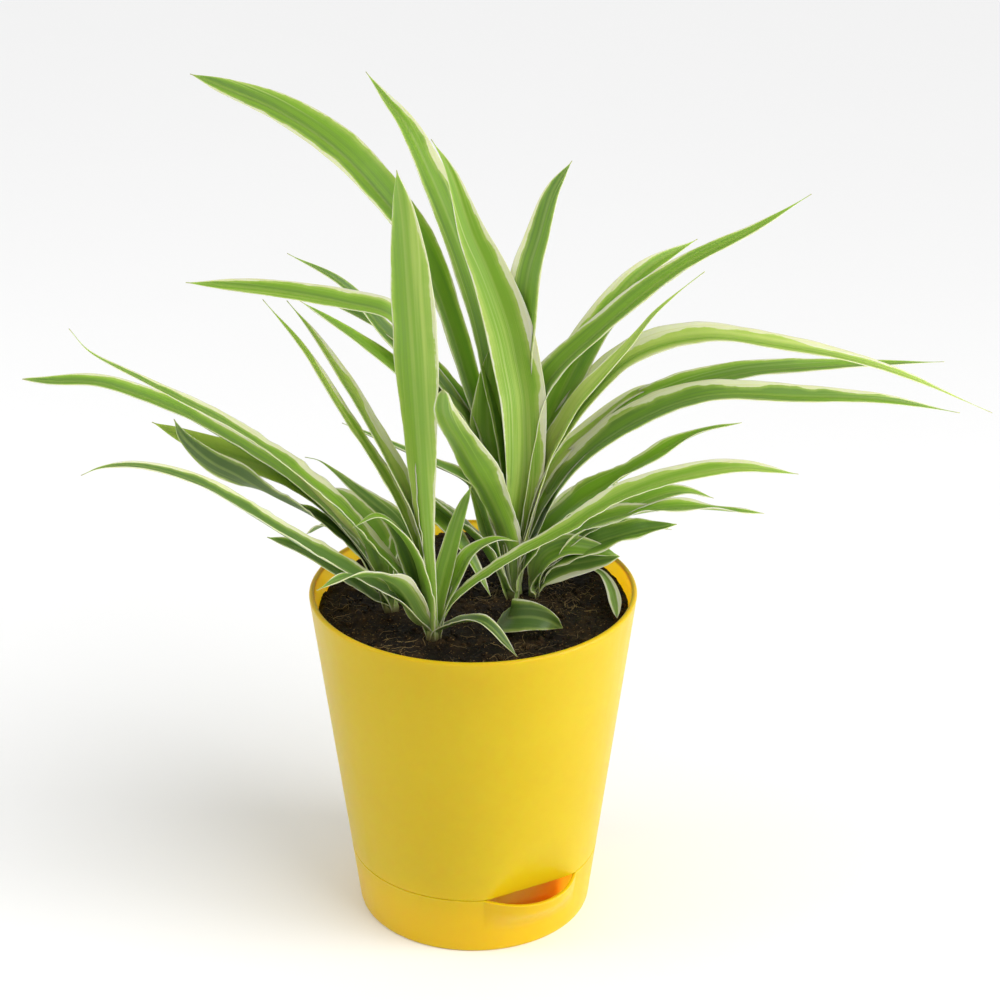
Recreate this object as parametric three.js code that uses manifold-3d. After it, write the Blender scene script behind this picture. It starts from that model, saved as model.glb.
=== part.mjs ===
// Potted spider plant: four crowns of striped arching leaves in a two-piece self-watering pot.
// Units are millimetres and +Z is up. The origin is the centre of the pot's underside.
// The camera side of the pot is -Y, and the filling mouth opens to the front right.
import * as THREE from "three";
import { mergeVertices } from "three/addons/utils/BufferGeometryUtils.js";
import Module from "manifold-3d";

const wasm = await Module();
wasm.setup();

// Driving dimensions of the pot
const POT_HEIGHT = 129;
const BASE_RADIUS = 43.6;
const RIM_RADIUS = 60;
const POT_WALL = 2;
const SEAM_HEIGHT = 24;
const SEAM_GAP = 0.3;
const FIT_GAP = 0.35;
const TRAY_WALL = 1.8;
const TRAY_FLOOR = 2.2;
const FLOOR_TOP = 20;
const FLOOR_BOTTOM = 18;
const SKIRT_BOTTOM = 15;
const BEAD_HEIGHT = 19.4;
const BEAD_DEPTH = 0.45;
const SIDES = 48;
const SOIL_SIDES = 24;

// The filling mouth: a flat on the pot above the seam, a lip on the tray below it
const MOUTH_ANGLE = 28.5;
const MOUTH_FLAT = 43.2;
const MOUTH_LEAN = 0.278;
const CHUTE_FLAT = 36;
const CHUTE_ROOF = 26;
const BAFFLE_BOTTOM = 8.5;
const BAFFLE_WIDTH = 42;
const LIP_ANGLE = 30;
const LIP_REACH = 6.1;
const LIP_HALF_ANGLE = 25;
const LIP_START = 9;
const LIP_FULL = 20;
const LIP_DIP = 1;

// Drainage and wick
const DRAIN_COUNT = 6;
const DRAIN_RADIUS = 2.4;
const DRAIN_CIRCLE = 24;
const WICK_RADIUS = 3;
const WICK_TOP = 46;
const WICK_CLEARANCE = 0.4;

// Soil and leaves
const SOIL_LEVEL = 121;
const SOIL_GAP = 0.3;
const SOIL_RISE = 1.8;
const CRUMB_HEIGHT = 0.45;
const ROOT_DEPTH = 12;
const LEAF_THICKNESS = 0.7;
const TIP_WIDTH = 0.9;
const POINT_SHARE = 0.22;
const STALK_FOLD = 55;
const LEAF_FOLD = 22;
const STALK_END = 0.15;
const STEP_LENGTH = 23;
const STEP_GROWTH = 1.3;

const radians = THREE.MathUtils.degToRad;
const clamp = THREE.MathUtils.clamp;
const coneRadius = (z) => BASE_RADIUS + ((RIM_RADIUS - BASE_RADIUS) * z) / POT_HEIGHT;

// Closed mesh to solid and back
function solid(geometry) {
  const plain = geometry.clone();
  plain.deleteAttribute("normal");
  plain.deleteAttribute("uv");
  const merged = mergeVertices(plain, 1e-4);
  const index = merged.index.array;
  const triangles = [];
  for (let i = 0; i < index.length; i += 3) {
    const [a, b, c] = [index[i], index[i + 1], index[i + 2]];
    if (a !== b && b !== c && c !== a) triangles.push(a, b, c);
  }
  return new wasm.Manifold(new wasm.Mesh({
    numProp: 3,
    vertProperties: new Float32Array(merged.attributes.position.array),
    triVerts: new Uint32Array(triangles),
  }));
}

// The largest connected body of a solid, without loose scraps or sealed hollows
function mainBody(shape) {
  const bodies = shape.decompose();
  return bodies.reduce((best, body) => (body.volume() > best.volume() ? body : best));
}

function geometryOf(shape) {
  const mesh = shape.getMesh();
  const geometry = new THREE.BufferGeometry();
  geometry.setAttribute("position", new THREE.BufferAttribute(mesh.vertProperties, 3));
  geometry.setIndex(new THREE.BufferAttribute(mesh.triVerts, 1));
  geometry.computeVertexNormals();
  return geometry;
}

function piece(name, shape, colour, roughness) {
  const material = new THREE.MeshStandardMaterial({ color: colour, roughness, metalness: 0 });
  const mesh = new THREE.Mesh(geometryOf(shape), material);
  mesh.name = name;
  return mesh;
}

// A solid of revolution about Z from [radius, height] points, with a side facing the mouth
function turned(profile, sides = SIDES) {
  const points = profile.map(([r, z]) => new THREE.Vector2(r, z));
  const geometry = new THREE.LatheGeometry(points, sides, radians(MOUTH_ANGLE), 2 * Math.PI);
  return geometry.rotateX(Math.PI / 2);
}

// Everything beyond a flat that faces the mouth, up to a given height
function beyondFlat(distance, lean, top) {
  const size = 200;
  const box = new THREE.BoxGeometry(size, size, size);
  const tilt = Math.atan(lean);
  box.translate(0, -size / 2, lean === 0 ? top - size / 2 : 0);
  box.rotateX(tilt);
  box.translate(0, -distance, lean === 0 ? 0 : SEAM_HEIGHT);
  box.rotateZ(radians(MOUTH_ANGLE));
  return solid(box);
}

// The recess above the mouth and the chute below it, moved inwards by an inset
function mouthCut(inset) {
  const slant = inset * Math.hypot(1, MOUTH_LEAN);
  const recess = beyondFlat(MOUTH_FLAT - slant, MOUTH_LEAN, 0);
  const roof = inset > 0 ? CHUTE_ROOF + inset - POT_WALL : SEAM_HEIGHT + SEAM_GAP / 2;
  return recess.add(beyondFlat(CHUTE_FLAT - inset, 0, roof));
}

const rod = (radius, bottom, top, sides, x = 0, y = 0) =>
  solid(turned([[0, bottom], [radius, bottom], [radius, top], [0, top]], sides).translate(x, y, 0));

// Pot shell: conical wall, perforated floor and a skirt that plugs into the tray
const spigot = (z) => coneRadius(z) - TRAY_WALL - FIT_GAP;

// A plate that carries the chute's back wall on down into the reservoir
function chuteBaffle() {
  const height = SKIRT_BOTTOM + 1 - BAFFLE_BOTTOM;
  const plate = new THREE.BoxGeometry(BAFFLE_WIDTH, POT_WALL, height);
  plate.translate(0, POT_WALL / 2 - CHUTE_FLAT, BAFFLE_BOTTOM + height / 2);
  return solid(plate.rotateZ(radians(MOUTH_ANGLE)));
}

function potShell() {
  const foot = SEAM_HEIGHT + SEAM_GAP / 2;
  const outside = solid(turned([
    [0, SKIRT_BOTTOM],
    [spigot(SKIRT_BOTTOM) - 0.6, SKIRT_BOTTOM],
    [spigot(SKIRT_BOTTOM), SKIRT_BOTTOM + 0.6],
    [spigot(BEAD_HEIGHT - 0.9), BEAD_HEIGHT - 0.9],
    [spigot(BEAD_HEIGHT) + BEAD_DEPTH, BEAD_HEIGHT],
    [spigot(BEAD_HEIGHT + 0.9), BEAD_HEIGHT + 0.9],
    [spigot(foot), foot],
    [coneRadius(foot) - 0.5, foot],
    [coneRadius(foot), foot + 0.5],
    [coneRadius(POT_HEIGHT - 0.8), POT_HEIGHT - 0.8],
    [coneRadius(POT_HEIGHT) - 0.5, POT_HEIGHT - 0.1],
    [coneRadius(POT_HEIGHT) - 1, POT_HEIGHT],
    [0, POT_HEIGHT],
  ])).subtract(mouthCut(0));
  const inside = solid(turned([
    [0, FLOOR_TOP],
    [spigot(FLOOR_TOP) - POT_WALL - 0.8, FLOOR_TOP],
    [spigot(FLOOR_TOP) - POT_WALL, FLOOR_TOP + 0.8],
    [coneRadius(CHUTE_ROOF) - 4.4, CHUTE_ROOF],
    [coneRadius(30) - POT_WALL, 30],
    [coneRadius(POT_HEIGHT - 0.8) - POT_WALL, POT_HEIGHT - 0.8],
    [coneRadius(POT_HEIGHT) - POT_WALL + 0.5, POT_HEIGHT + 0.2],
    [0, POT_HEIGHT + 0.2],
  ])).subtract(mouthCut(POT_WALL));
  const underside = solid(turned([
    [0, SKIRT_BOTTOM - 1],
    [spigot(SKIRT_BOTTOM) - POT_WALL, SKIRT_BOTTOM - 1],
    [spigot(SKIRT_BOTTOM) - POT_WALL, FLOOR_BOTTOM],
    [0, FLOOR_BOTTOM],
  ])).subtract(mouthCut(POT_WALL));
  let shell = outside.subtract(inside).subtract(underside);
  for (let i = 0; i < DRAIN_COUNT; i += 1) {
    const angle = (2 * Math.PI * i) / DRAIN_COUNT;
    const x = DRAIN_CIRCLE * Math.cos(angle);
    const y = DRAIN_CIRCLE * Math.sin(angle);
    shell = shell.subtract(rod(DRAIN_RADIUS, FLOOR_BOTTOM - 1, FLOOR_TOP + 1, 12, x, y));
  }
  shell = shell.subtract(rod(WICK_RADIUS + WICK_CLEARANCE, FLOOR_BOTTOM - 1, FLOOR_TOP + 1, 16));
  return mainBody(shell.add(chuteBaffle()));
}

// Reservoir tray: a shallow cup whose wall swells into a lip in front of the mouth
function lipSwell(angle, z) {
  const away = Math.abs(THREE.MathUtils.euclideanModulo(angle - LIP_ANGLE + 180, 360) - 180);
  const across = Math.cos((Math.PI / 2) * Math.min(away / LIP_HALF_ANGLE, 1));
  return across * THREE.MathUtils.smoothstep(z, LIP_START, LIP_FULL);
}

function reservoirTray() {
  const top = SEAM_HEIGHT - SEAM_GAP / 2;
  const wallInside = (z) => coneRadius(z) - TRAY_WALL;
  const geometry = turned([
    [0, 0],
    [coneRadius(0) - 1, 0],
    [coneRadius(0) - 0.3, 0.3],
    [coneRadius(1), 1],
    [coneRadius(LIP_START), LIP_START],
    [coneRadius(12), 12],
    [coneRadius(15), 15],
    [coneRadius(18), 18],
    [coneRadius(LIP_FULL + 1), LIP_FULL + 1],
    [coneRadius(top) - 0.1, top - 0.5],
    [coneRadius(top) - 0.5, top],
    [wallInside(top) + 0.3, top],
    [wallInside(top), top - 0.4],
    [wallInside(BEAD_HEIGHT + 0.9), BEAD_HEIGHT + 0.9],
    [wallInside(BEAD_HEIGHT) + BEAD_DEPTH, BEAD_HEIGHT],
    [wallInside(BEAD_HEIGHT - 0.9), BEAD_HEIGHT - 0.9],
    [wallInside(15), 15],
    [wallInside(12), 12],
    [wallInside(LIP_START), LIP_START],
    [wallInside(TRAY_FLOOR + 1.5), TRAY_FLOOR + 1.5],
    [wallInside(TRAY_FLOOR) - 1.5, TRAY_FLOOR],
    [0, TRAY_FLOOR],
  ]);
  const position = geometry.attributes.position;
  for (let i = 0; i < position.count; i += 1) {
    const [x, y, z] = [position.getX(i), position.getY(i), position.getZ(i)];
    const radius = Math.hypot(x, y);
    if (radius < 1) continue;
    const angle = THREE.MathUtils.radToDeg(Math.atan2(x, -y));
    const swell = lipSwell(angle, z);
    const scale = 1 + (LIP_REACH * swell) / radius;
    const dip = LIP_DIP * swell * THREE.MathUtils.smoothstep(z, LIP_FULL, top);
    position.setXYZ(i, x * scale, y * scale, z - dip);
  }
  return solid(geometry);
}

const wick = () => rod(WICK_RADIUS, TRAY_FLOOR + SOIL_GAP, WICK_TOP, 12);

// Potting soil: fills the shell, a little higher at the back right, with a crumbly top
function soilHeight(x, y) {
  const uphill = THREE.MathUtils.smoothstep(0.85 * x + 0.53 * y, 5, 62);
  const crumbs = Math.sin(0.31 * x + 0.9) * Math.sin(0.27 * y + 0.4);
  return SOIL_LEVEL - 0.5 + SOIL_RISE * uphill + CRUMB_HEIGHT * crumbs;
}

function soil(crowns) {
  const wall = (z) => coneRadius(z) - POT_WALL - SOIL_GAP;
  const foot = FLOOR_TOP + SOIL_GAP;
  const rings = [48, 39, 30, 21, 11, 0];
  const profile = [
    [0, foot],
    [spigot(foot) - POT_WALL - 1.2, foot],
    [spigot(foot) - POT_WALL - SOIL_GAP, foot + 1.2],
    [coneRadius(CHUTE_ROOF) - 4.4 - SOIL_GAP, CHUTE_ROOF + 0.3],
    [wall(30), 30.3],
    [wall(SOIL_LEVEL), SOIL_LEVEL],
    ...rings.map((r) => [r, SOIL_LEVEL]),
  ];
  const geometry = turned(profile, SOIL_SIDES);
  const position = geometry.attributes.position;
  for (let i = 0; i < position.count; i += 1) {
    const [x, y, z] = [position.getX(i), position.getY(i), position.getZ(i)];
    if (z > SOIL_LEVEL - 1) position.setZ(i, soilHeight(x, y));
  }
  let shape = solid(geometry).subtract(mouthCut(POT_WALL + SOIL_GAP));
  shape = shape.subtract(rod(WICK_RADIUS + WICK_CLEARANCE, FLOOR_TOP - 1, WICK_TOP + 0.3, 16));
  for (const crown of crowns) {
    const bottom = SOIL_LEVEL - ROOT_DEPTH - SOIL_GAP;
    shape = shape.subtract(rod(crown.hole, bottom, SOIL_LEVEL + 9, 16, crown.x, crown.y));
  }
  return mainBody(shape);
}

// Leaves: each is a thin folded blade along a midrib curve that starts inside its crown.
// A midrib's points are [distance from the crown, height above the soil, shift to the left]
// along a heading in degrees from +X. Width is the widest place; peak is where that is.
const ROOT_POINTS = [[0.5, -8], [1.5, 3]];

// Values spaced evenly along the leaf, with an eased blend from each to the next
function blend(values, t) {
  if (values.length === 1) return values[0];
  const place = t * (values.length - 1);
  const step = Math.min(Math.floor(place), values.length - 2);
  return THREE.MathUtils.lerp(values[step], values[step + 1], THREE.MathUtils.smoothstep(place - step, 0, 1));
}

// Share of the full width: rising as a sine from the stalk to the peak, then tapering to the tip
function widthShare(t, { base = 0.35, peak = 0.5, tip = 0.7, rise = 1.5, point = 0.5 }) {
  if (t < peak) return base + (1 - base) * Math.sin((Math.PI / 2) * (t / peak)) ** rise;
  const onward = (t - peak) / (1 - peak);
  const drawn = Math.sin((Math.PI / 2) * clamp((1 - onward) / POINT_SHARE, 0, 1)) ** point;
  return drawn * Math.max(1 - onward ** 1.4, 0) ** tip;
}

function leafBlade(crown, leaf) {
  const heading = radians(leaf.heading);
  const ahead = new THREE.Vector3(Math.cos(heading), Math.sin(heading), 0);
  const aside = new THREE.Vector3(-Math.sin(heading), Math.cos(heading), 0);
  const origin = new THREE.Vector3(crown.x, crown.y, SOIL_LEVEL);
  const place = ([away, rise, shift = 0]) =>
    origin.clone().addScaledVector(ahead, away).addScaledVector(aside, shift).setZ(SOIL_LEVEL + rise);
  const marks = [...ROOT_POINTS, ...leaf.midrib].map(place);
  const midrib = new THREE.CatmullRomCurve3(marks, false, "centripetal");
  const [amplitude, count, phase] = leaf.wave ?? [0, 0, 0];
  const length = midrib.getLength();
  const steps = leaf.wave ? 3 * count : clamp(Math.round(length / STEP_LENGTH), 5, 10);
  const vertices = [];
  for (let i = 0; i <= steps; i += 1) {
    const t = (i / steps) ** STEP_GROWTH;
    const point = midrib.getPointAt(t);
    const along = midrib.getTangentAt(t);
    const side = aside.clone().addScaledVector(along, -along.dot(aside)).normalize();
    const up = along.clone().cross(side);
    const roll = radians(blend(leaf.roll ?? [0], t));
    const across = side.clone().multiplyScalar(Math.cos(roll)).addScaledVector(up, Math.sin(roll));
    const normal = up.multiplyScalar(Math.cos(roll)).addScaledVector(side, -Math.sin(roll));
    const half = Math.max(leaf.width * widthShare(t, leaf), TIP_WIDTH) / 2;
    const flatFold = leaf.fold ?? LEAF_FOLD;
    const fold = radians(THREE.MathUtils.lerp(STALK_FOLD, flatFold, clamp(t / STALK_END, 0, 1)));
    const envelope = amplitude * Math.sin(Math.PI * t) ** 0.7;
    const skin = LEAF_THICKNESS / 2 / Math.cos(fold);
    const corner = (u, face) => {
      const wave = envelope * Math.sin(2 * Math.PI * count * t + phase + 1.3 * Math.sign(u)) * u * u;
      const lift = half * Math.sin(fold) * (Math.abs(u) - 0.5) + wave + face * skin;
      return point.clone().addScaledVector(across, half * Math.cos(fold) * u).addScaledVector(normal, lift);
    };
    vertices.push(corner(-1, 1), corner(0, 1), corner(1, 1), corner(1, -1), corner(0, -1), corner(-1, -1));
  }
  return solid(ringSkin(vertices, steps));
}

// Triangles of a tube of six-cornered rings: right, rib and left above, left, rib and right below.
// Both faces of the blade are split along the same diagonals.
function ringSkin(vertices, steps) {
  const index = [];
  const quad = (a, b, c, d) => index.push(a, c, b, a, d, c);
  for (let i = 0; i < steps; i += 1) {
    const [near, far] = [6 * i, 6 * i + 6];
    quad(near, near + 1, far + 1, far);
    quad(near + 1, near + 2, far + 2, far + 1);
    quad(near + 2, near + 3, far + 3, far + 2);
    quad(far + 4, far + 3, near + 3, near + 4);
    quad(far + 5, far + 4, near + 4, near + 5);
    quad(near + 5, near, far, far + 5);
  }
  const last = 6 * steps;
  quad(0, 5, 4, 1);
  quad(1, 4, 3, 2);
  quad(last, last + 1, last + 4, last + 5);
  quad(last + 1, last + 2, last + 3, last + 4);
  const geometry = new THREE.BufferGeometry().setFromPoints(vertices);
  geometry.setIndex(index);
  return geometry;
}

// The crown: a short stem of wrapped leaf bases that stands in its hole in the soil
function crownStem({ x, y, radius, height }) {
  const stem = turned([
    [0, SOIL_LEVEL - ROOT_DEPTH],
    [0.6 * radius, SOIL_LEVEL - ROOT_DEPTH],
    [radius, SOIL_LEVEL - ROOT_DEPTH + 3],
    [radius, SOIL_LEVEL + 2],
    [0.8 * radius, SOIL_LEVEL + height],
    [0, SOIL_LEVEL + height + 1],
  ], 12);
  return solid(stem.translate(x, y, 0));
}

function plant(crown) {
  const blades = Object.values(crown.leaves).map((leaf) => leafBlade(crown, leaf));
  return mainBody(blades.reduce((whole, blade) => whole.add(blade), crownStem(crown)));
}

const FRONT_LEFT = {
  x: -14, y: -25, radius: 3.8, hole: 4.6, height: 11,
  leaves: {
    uprightFront: {
      heading: 240, width: 18.6, peak: 0.72, base: 0.3, fold: 16, rise: 3, tip: 0.75,
      midrib: [[3, 24], [6, 57], [9, 95], [12, 131], [15, 160], [19, 178]],
    },
    levelLeft: {
      heading: 172, width: 15, tip: 0.8, roll: [0, -5, -25],
      midrib: [[3, 31], [5, 61], [6, 91], [8, 111], [13, 122], [29, 126], [55, 129], [84, 130]],
    },
    slantingOuter: {
      heading: 174, width: 10, peak: 0.45, tip: 1, roll: [0, -6, -20],
      midrib: [[3, 23], [7, 40], [14, 58], [22, 72], [30, 85], [43, 108], [57, 126]],
    },
    slantingInner: {
      heading: 168, width: 12, peak: 0.45, tip: 1, roll: [0, -5, -25],
      midrib: [[2, 27], [5, 46], [11, 61], [17, 73], [28, 93], [41, 113], [50, 124]],
    },
    innerRight: {
      heading: 60, width: 10.5, tip: 0.8, roll: [0, 8, 5],
      midrib: [[3.4, 14], [7, 22], [13, 32], [20, 42], [27, 49]],
    },
    innerSmall: { heading: 40, width: 8, midrib: [[3, 9], [6, 15], [9, 20]] },
    longLeftUpper: {
      heading: 183, width: 13.5, peak: 0.4, tip: 1.15, roll: [0, -3, -14],
      midrib: [
        [4, 13], [10, 24], [17, 33], [29, 49], [39, 60], [67, 83], [99, 102], [115, 112], [121, 120],
      ],
    },
    longLeftLower: {
      heading: 195, width: 14.5, peak: 0.42, tip: 0.95, roll: [-5, -5, -16],
      midrib: [
        [6, 9], [12, 17], [21, 24], [42, 40], [67, 60], [79, 69], [93, 76], [104, 79], [114, 79],
        [120, 77],
      ],
    },
    kinkedLeft: {
      heading: 214, width: 12, peak: 0.4, tip: 0.9, base: 0.3, rise: 3,
      wave: [0.8, 4, 0], roll: [0, 38, 36, 20, -25],
      midrib: [[6, 10], [10, 19], [15, 26], [22, 31], [25, 32], [36, 34], [47, 32]],
    },
    curledLeft: {
      heading: 200, width: 13, peak: 0.4, tip: 0.9,
      midrib: [[2, 12], [3, 20], [6, 33], [12, 44], [20, 51], [29, 48]],
    },
    longRight: {
      heading: 2, width: 12, peak: 0.62, base: 0.3, rise: 2, tip: 0.8, roll: [8, 6, 30],
      midrib: [
        [3, 7], [8, 16], [20, 26], [34, 35], [48, 43], [59, 51], [73, 58], [90, 63], [108, 65],
        [128, 62],
      ],
    },
    thinRight: { heading: 30, width: 9, midrib: [[4, 12], [9, 21], [15, 30], [25, 33], [35, 30]] },
    kinkedFront: {
      heading: -34, width: 9, peak: 0.4,
      midrib: [[6, 7], [13, 11], [21, 13], [26, 11], [31, 7], [36, 3]],
    },
    broadLeftBack: {
      heading: 150, width: 13, peak: 0.42, tip: 1.7, roll: [-18],
      midrib: [[5, 18], [9, 31], [15, 42], [25, 48], [33, 52], [40, 56], [47, 59], [53, 59]],
    },
  },
};

const BACK_LEFT = {
  x: -30, y: -3, radius: 3.8, hole: 4.8, height: 6,
  leaves: {
    longLeft: {
      heading: 185, width: 13, tip: 0.45, point: 0.25, roll: [0, 0, -18],
      midrib: [
        [4, 11], [7, 19], [16, 33], [25, 44], [38, 57], [54, 69], [72, 81], [86, 88], [100, 93],
        [118, 94], [126, 95],
      ],
    },
    paleLeft: {
      heading: 181, width: 15, peak: 0.68, rise: 2, tip: 0.9, roll: [0, -8, -34, -48],
      midrib: [[4, 10], [8, 20], [18, 36], [32, 51], [43, 58], [63, 65], [83, 75]],
    },
    twistedLeft: {
      heading: 194, width: 10, peak: 0.74, base: 0.7, tip: 0.8, fold: 14, roll: [-5, -8, -18, 30, 84, 78],
      midrib: [
        [3, 7], [7, 15], [12, 26], [16, 31], [23, 38], [31, 44], [40, 50], [47, 55], [54, 60], [63, 66],
        [72, 76], [75, 83],
      ],
    },
    lowLeft: {
      heading: 198, width: 13, base: 0.4, rise: 2.5, roll: [0, -20, -20],
      midrib: [[6, 6], [15, 15], [30, 28], [45, 36]],
    },
    backInner: { heading: 128, width: 15, midrib: [[4, 16], [15, 29], [35, 34], [54, 27]] },
    backOuter: { heading: 138, width: 13, midrib: [[5, 14], [17, 24], [32, 25], [44, 17]] },
    overRight: {
      heading: 4, width: 12, base: 0.4, roll: [0, 22, 30],
      midrib: [[1, 18], [3, 28], [7, 36], [12, 39], [17, 37.5], [22.5, 31], [29, 20.5], [36.5, 4.5]],
    },
  },
};

const MAIN = {
  x: 15, y: 8, radius: 3.9, hole: 4.6, height: 13,
  leaves: {
    archingLeft: {
      heading: 145, width: 19, peak: 0.65, tip: 0.8, roll: [0, 0, -25],
      midrib: [
        [3, 31], [15, 75], [28, 109], [41, 130], [54, 142], [77, 158], [104, 168], [133, 173],
        [147, 175],
      ],
    },
    tallest: {
      heading: 130, width: 17.5, peak: 0.6, tip: 0.85, roll: [5, 3, -8],
      midrib: [
        [1, 31], [5, 65], [11, 85], [16, 102], [27, 124], [43, 147], [60, 166], [72, 173.5], [84, 181],
      ],
    },
    broadUpright: {
      heading: 136, width: 18.5, peak: 0.58, tip: 1.05, base: 0.3, roll: [0, -38, -42, -30],
      midrib: [
        [-3, 36], [-5, 53], [-5, 66], [-4, 80], [-1, 92], [3, 105], [13, 124], [21, 136], [32, 157],
        [41, 166],
      ],
    },
    uprightRight: {
      heading: 60, width: 13.5, peak: 0.7, tip: 0.8,
      midrib: [[1, 31], [2, 58], [3, 86], [5, 107], [9, 124], [16, 134], [26, 148], [41, 156]],
    },
    recurvedFront: {
      heading: 245, width: 15, peak: 0.6, tip: 0.45, point: 0.12, roll: [0, 10, 10],
      midrib: [[2, 16], [5, 26], [17, 46], [41, 76], [57, 96], [57, 103]],
    },
    paleInner: {
      heading: 150, width: 15.5, peak: 0.6, tip: 0.7, roll: [0, -25, -20],
      midrib: [[3, 23], [7, 46], [11, 65], [11, 80], [10, 97]],
    },
    shadedInner: {
      heading: 168, width: 15, peak: 0.6, tip: 0.8, roll: [0, -15, -20],
      midrib: [[2, 14], [6, 30], [11, 44], [17, 57], [21, 65]],
    },
    darkLeft: {
      heading: 165, width: 12, tip: 0.9, roll: [-18],
      midrib: [[3, 23], [9, 46], [20, 69], [31, 84], [48, 100], [63, 116], [84, 126]],
    },
    stripedUpper: {
      heading: 160, width: 14,
      midrib: [[4, 27], [11, 57], [25, 79], [46, 97], [65, 105], [82, 110]],
    },
    stripedLower: {
      heading: 172, width: 15.5, peak: 0.62, tip: 0.8,
      midrib: [[4, 27], [13, 54], [27, 73], [42, 87], [56, 98], [77, 112]],
    },
    thinLeft: {
      heading: 190, width: 11, tip: 0.9,
      midrib: [[3, 7], [9, 28], [16, 47], [31, 57], [49, 67], [62, 74]],
    },
    lowLeft: { heading: 200, width: 12, midrib: [[3, 5], [13, 25], [26, 39], [40, 53], [50, 68]] },
    risingRight: {
      heading: 18, width: 15, peak: 0.45, tip: 1.05, roll: [4, 8, 30],
      midrib: [[1, 23], [6, 62], [11, 83], [32, 102], [62, 122], [92, 134], [112, 144]],
    },
    risingBehind: {
      heading: 35, width: 17, tip: 0.8, roll: [0, 18, 28],
      midrib: [[3, 23], [9, 57], [20, 76], [36, 98], [56, 115], [82, 123]],
    },
    archingRight: {
      heading: 9, width: 17, peak: 0.38, tip: 1.3, roll: [8, 14, 25],
      midrib: [[2, 19], [8, 47], [22, 73], [42, 93], [67, 99], [97, 94], [135, 83], [179, 62]],
    },
    pointedRight: {
      heading: -6, width: 11, peak: 0.3, tip: 1.7, roll: [0, 12, 5],
      midrib: [
        [2.5, 15], [7, 40], [11, 56], [16, 67], [23, 80], [32, 91], [41, 102], [49, 113], [58, 122],
        [66, 129],
      ],
    },
    threadRight: { heading: 24, width: 6, midrib: [[2, 17], [12, 47], [34, 66], [50, 74], [67, 74]] },
    levelRight: {
      heading: 17, width: 15, tip: 1.1, roll: [8, 11, 14],
      midrib: [[2, 15], [12, 40], [33, 63], [57, 74], [86, 79], [118, 78], [169, 74]],
    },
    sweepingRight: {
      heading: 3, width: 17, peak: 0.42, tip: 1.1, roll: [8, 13, 35],
      midrib: [[2, 13], [8, 27], [18, 49], [38, 67], [67, 79], [103, 78], [132, 76], [161, 70]],
    },
    wavyRight: {
      heading: -4, width: 15, peak: 0.35, tip: 0.8, roll: [15, 14, 8], wave: [1, 4, 0],
      midrib: [[2, 11], [9, 24], [22, 39], [35, 48], [45, 55], [66, 68], [81, 72]],
    },
    soilLeaf: {
      heading: -48, width: 14, base: 0.2, peak: 0.72, tip: 0.75, rise: 7, roll: [0, 10, 34, 42, 34],
      midrib: [
        [9.1, 6, -6.8], [15.7, 7, -15.8], [20.3, 7.5, -20.5], [24.6, 8, -19.5], [28.9, 8, -17.2],
        [32.6, 6.5, -13.3], [35.3, 3.5, -8.5],
      ],
    },
    backRight: { heading: 84, width: 15, midrib: [[3, 25], [10, 50], [30, 68], [60, 68], [85, 48]] },
    backLeft: { heading: 112, width: 15, midrib: [[3, 25], [12, 46], [34, 60], [62, 56], [85, 36]] },
  },
};

const SMALL_RIGHT = {
  x: 22, y: 8, radius: 2.3, hole: 3.6, height: 5,
  leaves: {
    wavyLong: {
      heading: 10, width: 12, wave: [1.2, 4, 1],
      midrib: [[10, 19], [21, 28], [40, 32], [59, 32], [87, 27]],
    },
    broadShort: {
      heading: 6, width: 15, base: 0.2, rise: 2.5, roll: [0, 20, 20], wave: [1, 5, 0],
      midrib: [[8, 15], [19, 20], [36, 25], [53, 27]],
    },
    archedShort: {
      heading: 0, width: 9, base: 0.3, roll: [0, 14, 20],
      midrib: [[1, 8], [2, 14], [5, 18], [12, 21], [21, 20], [31, 17]],
    },
    drooping: {
      heading: -35, width: 5, base: 0.3, peak: 0.78, rise: 2, roll: [0, 0, 15],
      midrib: [
        [-0.2, 5, 4.8], [3.8, 6.5, 12.1], [8.1, 7.5, 17.8], [12.5, 7.5, 19.9], [17.3, 7, 19.3],
        [21.8, 6.5, 16.5], [27.3, 6, 11.3], [32.4, 5, 5.4], [38.7, 3.8, -3],
      ],
    },
    blunt: {
      heading: 20, width: 12, tip: 0.7, peak: 0.6, roll: [8],
      midrib: [[7, 15], [14, 21], [34, 30], [58, 34], [72, 29]],
    },
    cupped: {
      heading: 6, width: 16, base: 0.2, tip: 0.6, rise: 3, roll: [0, 32, 32],
      midrib: [[3, 8], [9, 12], [21, 14], [32, 15]],
    },
    smallInner: { heading: -10, width: 7, midrib: [[0, 4], [3, 10], [11, 17]] },
    backLow: { heading: 38, width: 11, base: 0.25, midrib: [[5, 10], [24, 18], [46, 17], [68, 8]] },
    backHigh: { heading: 58, width: 13, base: 0.25, midrib: [[5, 14], [22, 26], [46, 28], [72, 18]] },
  },
};

// Assembly
const POT_YELLOW = 0xe9c63a;
const LEAF_GREEN = 0x82a53c;
const SOIL_BROWN = 0x2e2a1f;
const WICK_WHITE = 0xe6e0d0;

const group = new THREE.Group();
group.add(
  piece("pot_shell", potShell(), POT_YELLOW, 0.4),
  piece("reservoir_base", reservoirTray(), POT_YELLOW, 0.4),
  piece("wick", wick(), WICK_WHITE, 0.9),
  piece("soil", soil([FRONT_LEFT, BACK_LEFT, MAIN, SMALL_RIGHT]), SOIL_BROWN, 0.95),
  piece("plant_front_left", plant(FRONT_LEFT), LEAF_GREEN, 0.5),
  piece("plant_back_left", plant(BACK_LEFT), LEAF_GREEN, 0.5),
  piece("plant_main", plant(MAIN), LEAF_GREEN, 0.5),
  piece("plant_small_right", plant(SMALL_RIGHT), LEAF_GREEN, 0.5),
);

export default group;
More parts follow.
